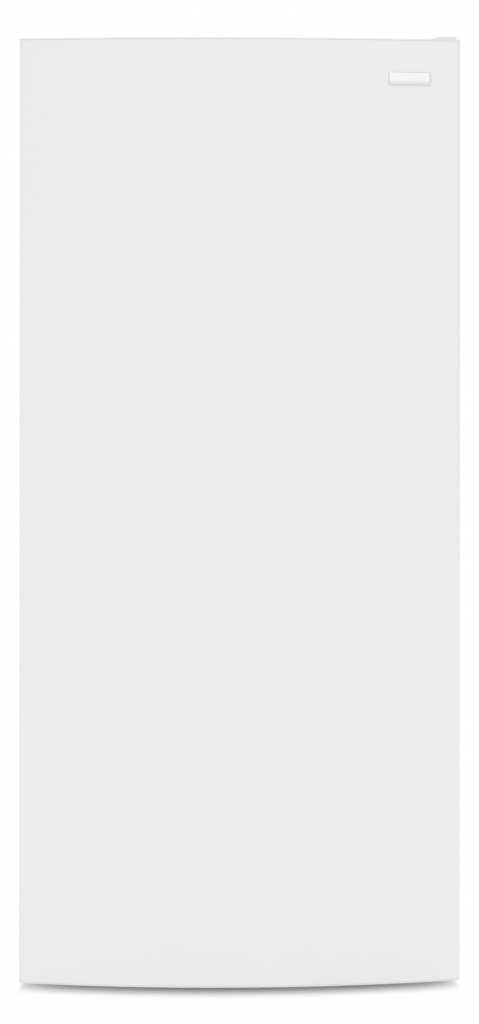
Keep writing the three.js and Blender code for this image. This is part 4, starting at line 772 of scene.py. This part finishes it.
rings = [flat(ROOM, WALL, 16, ROOM_BACK + WALL), flat(ROOM, WALL, 16, -281.2)]
rings += [flat(FLANGE, 0, 6, -281.2), flat(FLANGE, 0, 6, -282.7), flat(FLANGE, -0.8, 6, CASE_FRONT)]
rings += [flat(ROOM, 3 - u, 16, CASE_FRONT + 3 - v) for u, v in arc(0, 0, 3, 90, 0, 4)]
rings += [flat(ROOM, u - 12, 16, ROOM_BACK - 12 + v) for u, v in arc(0, 0, 12, 0, 90, 5)]
under_hump = pillow((-310, 310), (HUMP_FRONT + 1.2, 320), (70, HUMP_TOP - 1.2), 1, 1)
drawn = carved(loft(rings), under_hump)
hump_outline = hump_side(0) + hump_side(WALL)[::-1]
hump = across(lambda inset: hump_outline, -ROOM[0] - 0.2, ROOM[0] + 0.2, 0.2)
ledges = [pillow((284.5, 300), (-163.5, 216.5), (320 + 120 * i, 330 + 120 * i), 3) for i in range(9)]
ledges.append(pillow((284.5, 300), (-165.5, 90), (254, 264), 3))
ledges += [moved(ledge, turn=MIRROR) for ledge in ledges]
piece("cabinet_liner_sheet", merged(drawn, hump, *ledges), liner, ["cabinet_liner"])

# %% [markdown]
# ## Shelves
#
# Each shelf is a pane of glass let into a moulded frame, which keeps the node's shape. The pane is a thin
# clear pillow, and a slightly green strip lies along its four edges, where a long path through the glass
# gives real panes their colour.

# %% Frames and panes
for number in (1, 2, 3):
    level = 338.3 + 360 * (number - 1)
    dress(f"shelf_frame_{number}", moulded, 1.2)
    clear = pillow((-276.4, 276.4), (-150.4, 201.4), (level + 0.05, level + 3.95), 0.6, 2)
    piece(f"pane_{number}", clear, pane, [f"shelf_glass_{number}"])
    edge_rows = [(0, level + 0.4), (0, level + 3.6), (0.5, level + 3.6), (0.5, level + 0.4)]
    strip = stack(lambda inset: shrunk((-277.1, 277.1, -151.1, 202.1), inset, 1), edge_rows, closed=True)
    piece(f"pane_edge_{number}", strip, pane_edge)

# %% [markdown]
# ## Wire basket
#
# The sliding basket is welded wire under a white coating: a thick rim, thin cross wires bent into U shapes,
# and long wires that tie them. Every wire is a tube along a path with rounded bends. The handle is a moulded
# plate with a rolled grip.

# %% Wires, rim and handle
side, bottom, rim_z = 277.0, 107.8, 266.8
front, back = -162.6, 78.6


def hoop(half, inset, z, bend, radius, sides):
    y0, y1 = front + inset, back - inset
    corners = [(-half, y0, z), (half, y0, z), (half, y1, z), (-half, y1, z)]
    return tube(bent(corners, bend, closed=True), radius, sides, closed=True)


wires = [hoop(289, 0, rim_z, 10, 2.5, 8)]
for x in span(-side + 13, side - 13, 21):
    stops = [(front + 1, rim_z - 2), (front + 5, bottom), (back - 5, bottom), (back - 1, rim_z - 2)]
    wires.append(tube(bent(placed(stops, x, "x"), 9), 1.5, 6))
for y in span(front + 20, back - 20, 8):
    stops = [(288, rim_z), (279.5, rim_z), (276, bottom + 3)]
    stops += [(-x, z) for x, z in reversed(stops)]
    wires.append(tube(bent(placed(stops, y, "y"), 8), 1.5, 6))
wires += [hoop(side + 2, 2, z, 9, 1.7, 6) for z in (150, 190, 230)]
piece("basket_wires", merged(*wires), wire_coat, ["wire_basket"], "basket", 60)


def grip_outline(inset):
    top, low = 272 - inset, 228.3 + inset
    outer, inner = -170.6 + inset, -166 + inset
    curl = [(-158 - inset, top - 5), (-160, top - 1.2), (-163, top), (-167, top - 0.6), (outer, top - 5)]
    return curl + [(outer, top - 15), (-168.6 + inset, top - 17), (inner, top - 18), (inner, low),
                   (-161.2 - inset, low), (-161.2 - inset, top - 8)]


piece("basket_grip", across(grip_outline, -75, 75, 1.2), moulded, ["basket_handle"], "basket", 40)

# %% [markdown]
# ## Controls and lamp
#
# A long housing under the ceiling carries three push buttons, a display and the lamp. The buttons are
# slightly dished, so that a finger finds them, and a hidden flange keeps them in; each rides on its own
# body. The lens is ribbed to spread the light, and a white tray closes the room above it.

# %% Housing, buttons, display, lens and door switch
dress("control_housing", moulded, 1.2)
HOUSING_FRONT, CONTROL_Z = -223.5, 1462.5
button = [(0, -1.3), (3, -1.4), (5.5, -1.75), (6.6, -2), (7.5, -1.7), (8, -1), (8, 2.8), (10.5, 2.8),
          (10.5, 5.3), (0, 5.3)]
for number, x in enumerate((-60, -26, 8), 1):
    cap = moved(lathe(button), (x, HOUSING_FRONT, CONTROL_Z), TO_BACK)
    piece(f"button_cap_{number}", cap, moulded, [f"control_button_{number}"], f"button_{number}")

face = pillow((27.4, 90.6), (-222.9, -219), (1453.9, 1471.1), 1.2)
flange = pillow((24.4, 93.6), (-220.6, -218.8), (1450.9, 1474.1), 0.6, 2)
piece("display_window", merged(face, flange), window, ["control_display"])

lens = [pillow((-94.6, 94.6), (-201.1, -143.9), (1437.7, 1444.2), 1.6),
        pillow((-98.9, 98.9), (-205.4, -139.6), (1442.85, 1444.25), 0.6, 2)]
lens += [pillow((x - 2.4, x + 2.4), (-198, -147), (1437.1, 1440), 1.4, 2) for x in span(-84, 84, 22)]
piece("lamp_lens", merged(*lens), opal, ["lamp_cover"])
piece("lamp_tray", pillow((-98, 98), (-204.5, -140.5), (1444.6, 1446.2), 0.6, 2), moulded)

plunger_profile = [(0, -24.7), (2.6, -24.6), (4.2, -23.9), (5, -22.3), (5, 2.8), (7.5, 2.8), (7.5, 5.3),
                   (0, 5.3)]
plunger = moved(lathe(plunger_profile, 28), (215.5, -218.5, CONTROL_Z), TO_BACK)
piece("switch_plunger", plunger, grey, ["door_switch_plunger"], "door_switch")

# %% [markdown]
# ## Cold side
#
# Behind the inner back panel sit the fan and the finned coil. The coil gets its copper serpentine, and the
# fan gets real blades: each is a row of thin cambered sections, turned less and less towards the tip, where
# the air moves faster. The rest keep their nodes.

# %% Fan, coil tubes and panel
BLADES, HUB_RADIUS, MID_BLADE = 5, 11, 36


def fan(tip):
    parts = [lathe([(0, 41.3), (3, 41.3), (3, 28), (13.6, 28), (14, 28.5), (14, 41), (13.1, 43.1), (11, 44),
                    (0, 44)])]
    chord_line = [(c, 1) for c in span(-0.5, 0.5, 9)] + [(c, -1) for c in span(0.45, -0.45, 7)]
    for i in range(BLADES):
        rings = []
        for t in span(0, 1, 14):
            r = HUB_RADIUS + (tip - HUB_RADIUS) * t
            end = sqrt(1 - (max(t - 0.8, 0) / 0.215) ** 2)
            chord = 0.55 * tip * (0.72 + 0.28 * ease(t / 0.6)) * end
            pitch = radians(40 - 14 * t)
            section = []
            for c, way in chord_line:
                height = (0.05 * chord + way * 0.8) * (1 - 4 * c * c) + 0.15 * way
                turn = 2 * pi * i / BLADES + (c * chord * cos(pitch) - height * sin(pitch)) / r
                z = MID_BLADE + c * chord * sin(pitch) + height * cos(pitch)
                section.append((r * cos(turn), r * sin(turn), z))
            rings.append(section)
        parts.append(loft(rings))
    return merged(*parts)


cold_fan = moved(fan(52), (0, 293.2, 1290), TO_FRONT)
piece("cold_fan", cold_fan, moulded, ["evaporator_fan_blade"], "evaporator_fan")
for y in (251.2, 279.2):
    path = [(side * 269.5, y, 385 + 42 * row)
            for row in range(6) for side in ((-1, 1) if row % 2 == 0 else (1, -1))]
    piece(f"coil_tube_{int(y)}", tube(bent(path, 20), 4, 8), copper)
dress("evaporator_cover", liner, 0.8)
dress("evaporator_coil", fin_metal, 0.2)
dress("defrost_heater", zinc, 0.3)
dress("drain_trough", grey, 0.5)
dress("evaporator_fan_motor", grey, 1)

# %% [markdown]
# ## Compressor
#
# The compressor is two deep-drawn steel shells, one lapping over the other, on a pressed plate with rubber
# grommets. The shell is turned from its profile and stretched sideways. The relay's moulded cover is a
# pillow that the shell is cut out of.

# %% Shell, foot plate, grommets, stub and relay cover
BAY_Y = 246.5    # middle of the machine bay
COMPRESSOR_AT = (175.5, BAY_Y, 45.5)
shell_profile = [(0, 0.5), (54, 0.5), (64, 2.6), (71, 7.5), (75, 15), (77, 28), (78, 48), (78, 67),
                 (79.8, 67.6), (80, 69), (80, 75.4), (79.6, 76.4), (78.2, 77), (77.6, 92), (75.8, 108),
                 (72, 121), (65, 132), (54, 140.5), (38, 146.6), (20, 149.4), (0, 150)]
shell = moved(lathe(shell_profile, 64), turn=Matrix.Diagonal((1.12, 1, 1)))
foot_rows = [(2, -3), (0.6, -2.8), (0, -2), (0, 0.2), (0.6, 0.9), (2.5, 1)]
foot = stack(lambda inset: shrunk((-98, 98, -62, 62), inset, 14 - inset), foot_rows)
piece("compressor_shell", moved(merged(shell, foot), COMPRESSOR_AT), black_paint, ["compressor"])

grommet = lathe([(0, -14), (8, -14), (9, -13), (9, -5.4), (6.6, -4.4), (6.6, -3.4), (9, -2.6), (9, 2), (8, 4),
                 (0, 4)])
grommets = [moved(grommet, (x, y, 0)) for x in (-84, 84) for y in (-48, 48)]
piece("grommets", moved(merged(*grommets), COMPRESSOR_AT), rubber)
stub = lathe([(4.6, 140), (4.6, 150), (3.9, 151), (3.9, 157.9), (3, 157.9), (3, 140)], 20)
piece("suction_stub", moved(stub, (145.5, BAY_Y, 45.5)), copper)

around_shell = lathe([(r + 0.4, h) for r, h in shell_profile[1:-1]], 64)
relay = carved(pillow((256.2, 291), (220.6, 272.4), (87.6, 149.4), 5),
               moved(around_shell, COMPRESSOR_AT, Matrix.Diagonal((1.125, 1, 1))))
piece("relay_cover", relay, black, ["compressor_relay_cover"])

# %% [markdown]
# ## Condenser, pan and copper line
#
# The condenser is one long steel tube folded into layers, with wires welded across it to shed more heat. A
# half circle joins two passes, and a smaller upright one leads to the next layer. The end plates have a hole
# for each pass. The pan is a moulded tray, and the copper line rises from the compressor to the bulkhead.

# %% Serpentine, wires, plates, pan and line
CONDENSER_AT = (-190.5, BAY_Y, 31.5)
BAY_FAN_Z = 138.1
RUN, PASSES, PASS_PITCH, LAYERS, LAYER_PITCH, LIFT = 68, 4, 56, 3, 34, 44


def half_turn(here, following, out, steps=8):
    """A half circle from one point to another, bulging along Y."""
    middle, arm = (here + following) / 2, (here - following) / 2
    away = Vector((0, out * arm.length, 0))
    return [middle + arm * cos(a) + away * sin(a) for a in span(0, pi, steps + 1)]


columns = [(i - (PASSES - 1) / 2) * PASS_PITCH for i in range(PASSES)]
stops = [(x, LIFT + layer * LAYER_PITCH)
         for layer in range(LAYERS) for x in (columns if layer % 2 == 0 else reversed(columns))]
path = [Vector((stops[0][0], -RUN, stops[0][1]))]
for i in range(len(stops) - 1):
    end = 1 if i % 2 == 0 else -1
    here, following = (Vector((x, end * RUN, z)) for x, z in stops[i:i + 2])
    path += half_turn(here, following, end)
path.append(Vector((stops[-1][0], -RUN, stops[-1][1])))
coil = [tube(path, 3.2, 10)]
for layer in range(LAYERS):
    for side in (-4, 4):
        level = LIFT + layer * LAYER_PITCH + side
        coil += [tube([(-91, y, level), (91, y, level)], 0.8, 6) for y in span(-54, 54, 15)]
outline = [(-94, 0), (-84, 0), (-84, 34), (84, 34), (84, 0), (94, 0), (94, 122), (-94, 122)]
holes = [arc(x, z, 3.7, 0, -345, 23) for x, z in stops]
end_plate = moved(sheet(outline, holes, 2), turn=TO_FRONT)
coil += [moved(end_plate, (0, y, 0)) for y in (-60, 60)]
piece("condenser", moved(merged(*coil), CONDENSER_AT), black_paint, ["condenser_coil"])

pan_rows = [(6, 0), (3.4, 0.9), (2, 4), (0.6, 26), (0, 26.4), (0, 29.4), (0.6, 30), (1.8, 30), (2.6, 29)]
pan_rows += [(4, 5), (5.4, 3), (8, 2.2)]
pan = stack(lambda inset: shrunk((-108, 108, -57, 57), inset, 10 - inset), pan_rows)
piece("melt_water_pan", moved(pan, CONDENSER_AT), black, ["drain_pan"])

line = bent([(145.5, BAY_Y, 203.8), (145.5, BAY_Y, 222.5), (118, 175, 223), (115.5, 158, 205),
             (115.5, 139.6, 204.7)], 16, steps=7)
piece("copper_line", tube(line, 4, 12), copper, ["suction_line"])
bay_fan = moved(fan(70), (2, BAY_Y, BAY_FAN_Z), TO_X)
piece("bay_fan", bay_fan, black, ["condenser_fan_blade"], "condenser_fan")

# %% [markdown]
# ## Louvred cover and bush
#
# The lower back is closed by a plate with three columns of louvres. Each is a slot under a small hood, a
# strip whose section swells from nothing and back to nothing. The mains lead would pass through a snap-in
# bush; only the bush is part of the casing.

# %% Plate, hoods and bush
LOUVRES = [(x, BAY_FAN_Z + 20 * row) for x in (-185, 0, 185) for row in range(-3, 4)]
GLAND_AT = (299.5, 75.2)
slots = [rounded(x - 75, x + 75, z - 3, z + 3, 1.5, 3)[::-1] for x, z in LOUVRES]
slots.append(arc(*GLAND_AT, 9.3, 0, -345, 23))
cover = moved(sheet(rounded(-354.4, 354.4, 31.5, 244.7, 3), slots, SHEET, 0.15), (0, 360.1, 0), TO_FRONT)


def hood(x0, z0):
    rings = []
    for x in span(-77, 77, 23):
        out = 2.4 * ease((77 - abs(x)) / 9)
        outer = [(-0.15, 4.6), (0.35 * out, 4), (0.8 * out, 2.4), (out, -0.4), (out, -2)]
        inner = [(y - 0.55, z) for y, z in reversed(outer)]
        rings.append([(x0 + x, PANEL_FACE + y, z0 + z) for y, z in outer + inner])
    return loft(rings)


hoods = [hood(x, z) for x, z in LOUVRES]
cover_screws = [screw(x, SCREW_SEAT, z) for x in (-SCREW_X, SCREW_X) for z in (42, 138, 234)]
cover_screws += [screw(x, SCREW_SEAT, 234) for x in (-92, 92)]
piece("louvred_cover", merged(cover, *hoods, *cover_screws), galvanised, ["rear_access_cover"])

bush = lathe([(4.5, 358), (5.3, 357.1), (12.3, 357.1), (13, 357.8), (13, 359.3), (9, 359.4), (9, 360.7),
              (13, 360.8), (13, 361.9), (11.6, 363), (8.6, 363.2), (6.4, 362.9), (4.5, 361.6)], closed=True)
piece("mains_bush", moved(bush, (GLAND_AT[0], 0, GLAND_AT[1]), TO_BACK), black, ["cord_gland"])

# %% [markdown]
# ## Feet, rollers and hinges
#
# Each levelling leg is a fluted foot on a threaded stem, and the thread is a real helix: every ring has its
# own phase, so that the crest climbs as it goes round. The rollers are turned, with a groove on both faces.
# The hinge plates and brackets keep their nodes and get their screws.

# %% Legs, rollers, brackets and screws
def leg():
    angles = span(0, 2 * pi, 49)[:-1]
    rings = []

    def ring(radius, h):
        rings.append([(radius(a) * cos(a), radius(a) * sin(a), h) for a in angles])

    for r, h in [(14, 0), (16.2, 0.5), (17, 1.6), (17, 5), (16.3, 6.2), (11, 8.6), (9.6, 10), (5, 10.4)]:
        flute = 0.035 if r > 16 else 0
        ring(lambda a: r * (1 - flute * abs(sin(9 * a))), h)
    for h in span(10.8, 46.6, 96):
        ring(lambda a: 4.45 + 0.5 * abs(2 * ((h / 2.2 + a / (2 * pi)) % 1) - 1), h)
    ring(lambda a: 3.8, 47.2)
    return loft(rings)


wheel_profile = [(4.3, -7.9), (8, -7.9), (8.6, -6.4), (11, -6.4), (11.6, -7.9), (13.2, -7.9), (14, -7.1)]
wheel_profile += [(r, -h) for r, h in reversed(wheel_profile)]
wheel = lathe(wheel_profile, closed=True)
for name, way in (("left", -1), ("right", 1)):
    foot = moved(leg(), (way * 315.5, -243.5, 0))
    piece(f"leg_{name}", foot, grey, [f"levelling_leg_{name}"], f"{name}_leg")
    roller = moved(wheel, (way * 295.5, 293.5, 14), TO_X)
    piece(f"wheel_{name}", roller, black, [f"rear_roller_{name}"], f"{name}_roller")
    dress(f"roller_bracket_{name}", zinc, 0.3)
for name in ("top_hinge_plate", "bottom_hinge_bracket"):
    dress(name, zinc, 0.4)
screws = [screw(x, y, 1548.2, Matrix.Identity(3), 0.85) for x, y in ((327, -270), (340, -244), (327, -222))]
screws += [screw(x, -286.7, 47, TO_FRONT, 0.85) for x in (315, 340)]
piece("hinge_screws", merged(*screws), zinc)

# %% [markdown]
# ## The frame's own sheet metal and foam
#
# What is left keeps the node's shape: the crossmember over the feet, the base pan, the bulkhead of the
# machine bay, the fan's shroud and motor, and the foam between the skins.

# %% Finishes for the remaining nodes
dress("front_sill", enamel, 0.8)
dress("base_pan", zinc, 0.4)
dress("bay_bulkhead", galvanised, 0.5)
dress("condenser_fan_shroud", galvanised, 0.3)
dress("condenser_fan_motor", grey, 1)
dress("cabinet_foam", foam, 0.4)

# %% [markdown]
# ## Floor, light and background
#
# The picture wants a plain product shot: white behind, a pale floor with a contact shadow, and light so soft
# that the door shows almost no gradient. Most of the light is the world's. Only what the camera sees
# directly, in a mirror or through glass, is pure white; the light on the object doesn't change with it.

# %% World
WORLD_LEVEL = 0.8

world = bpy.data.worlds.new("studio")
world.use_nodes = True
bpy.context.scene.world = world
sky = Nodes(world.node_tree, "Background")
sky.shader.inputs["Color"].default_value = (1, 1, 1, 1)
sky.feed("Strength", WORLD_LEVEL + sky.seen_directly() * (1 - WORLD_LEVEL))
print("light from the world:", WORLD_LEVEL)

# %% [markdown]
# ## A floor that keeps only the contact shadow
#
# The floor is a plain pale sheet. Under the freezer it shows its real shading, the contact shadow, and away
# from it the camera sees it as white as the background. The border follows the outline from above, the bow
# included, and is a soft ramp of a few centimetres.

# %% Floor
EDGE_SOFT, SIDE_STEEPNESS = 0.039, 2.5
SHADE_FRONT, SHADE_SIDE, SHADE_BACK = 0.284, 0.352, 0.35    # where the shadow starts to fade, in metres

ground = Finish("floor", (0.92, 0.92, 0.92), 0.9)
floor_x, floor_y = ground.node("SeparateXYZ", {0: ground.place()}, (0, 1))
aside = floor_x.over(0 - floor_x)
in_front = floor_x * floor_x * (0.5 / (BOW_RADIUS * MM)) - floor_y - SHADE_FRONT
beyond = in_front.over((aside - SHADE_SIDE) * SIDE_STEEPNESS).over(floor_y - SHADE_BACK)
white = ground.node("MapRange", {"Value": beyond, 2: EDGE_SOFT}, interpolation_type="SMOOTHSTEP")
white = white * ground.seen_directly()
glow = ground.node("Emission", {"Color": (1, 1, 1, 1), "Strength": 1.0})
paint = Socket(ground, ground.shader.outputs[0])
both = ground.node("MixShader", {0: white, 1: paint, 2: glow})
ground.feed("Surface", both, ground.tree.nodes["Material Output"])

edges = [[(x, -9000, 0), (x, 9000, 0)] for x in (-9000, 9000)]
floor_part = loft(edges, cap=(False, False), ring_closed=False)
floor_mesh = mesh_of("floor", floor_part)
floor_mesh.materials.append(ground.material)
floor = new_object("floor", floor_mesh)
floor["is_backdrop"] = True

# %% [markdown]
# ## Lamps
#
# A broad soft sun lights the door evenly from top to bottom. A large rectangle behind the camera adds the
# faint shading over the bow, and a low strip makes up for the light that the floor loses under the door.
# Two weak ones shape the top and the left, and one behind the freezer shows its beads and louvres.

# %% Lamps
def lamp(name, place, aim, energy, kind="AREA", **shape):
    data = with_settings(bpy.data.lights.new(name, kind), energy=energy, **shape)
    facing = (Vector(aim) - Vector(place)).to_track_quat("-Z", "Y").to_euler()
    with_settings(new_object(name, data), location=place, rotation_euler=facing)
    print(name, kind, energy, shape)


lamp("front_sun", (0.3, -5, 4.0), (0, -0.3, 0.8), 0.405, "SUN", angle=radians(40))
for name, place, aim, width, height, energy in (
        ("front_box", (0.4, -5.8, 1.2), (0, -0.3, 0.6), 4.4, 2.6, 16),
        ("left_box", (-3.6, -0.8, 1.6), (0, 0, 0.8), 2.0, 2.4, 3),
        ("low_strip", (-0.25, -1.15, 0.16), (0, -0.3, 0.16), 1.6, 0.3, 0.32),
        ("top_box", (0.4, 0.4, 4.2), (0, 0, 1.2), 3.0, 3.0, 3),
        ("back_box", (1.3, 3.0, 3.9), (0, 0.36, 0.8), 3.0, 2.4, 40)):
    lamp(name, place, aim, energy, shape="RECTANGLE", size=width, size_y=height)

# %% [markdown]
# ## Camera
#
# The view is level and almost square on, as a shop's catalogue takes it. The lens is shifted down, so
# upright edges stay parallel while the bow's curve shows along the bottom edge.

# %% Camera
optics = with_settings(bpy.data.cameras.new("camera"), lens=50.68, sensor_width=36, shift_x=-0.0217,
                       shift_y=-0.2489)
camera = with_settings(new_object("camera", optics), location=(0, -2.6635, 1.206),
                       rotation_euler=(radians(90), -0.0008, radians(-0.85)))
bpy.context.scene.camera = camera
bpy.context.scene.view_settings.view_transform = "Standard"

# %% [markdown]
# ## Size
#
# The dressed object has to stay inside the box of the imported one.

# %% Compare the boxes
dressed_box = [list(corner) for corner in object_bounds()]
for axis, name in enumerate("xyz"):
    grown = (cad_box[0][axis] - dressed_box[0][axis], dressed_box[1][axis] - cad_box[1][axis])
    print(f"{name}: beyond the CAD box by {grown[0] * 1000:.2f} and {grown[1] * 1000:.2f} mm")
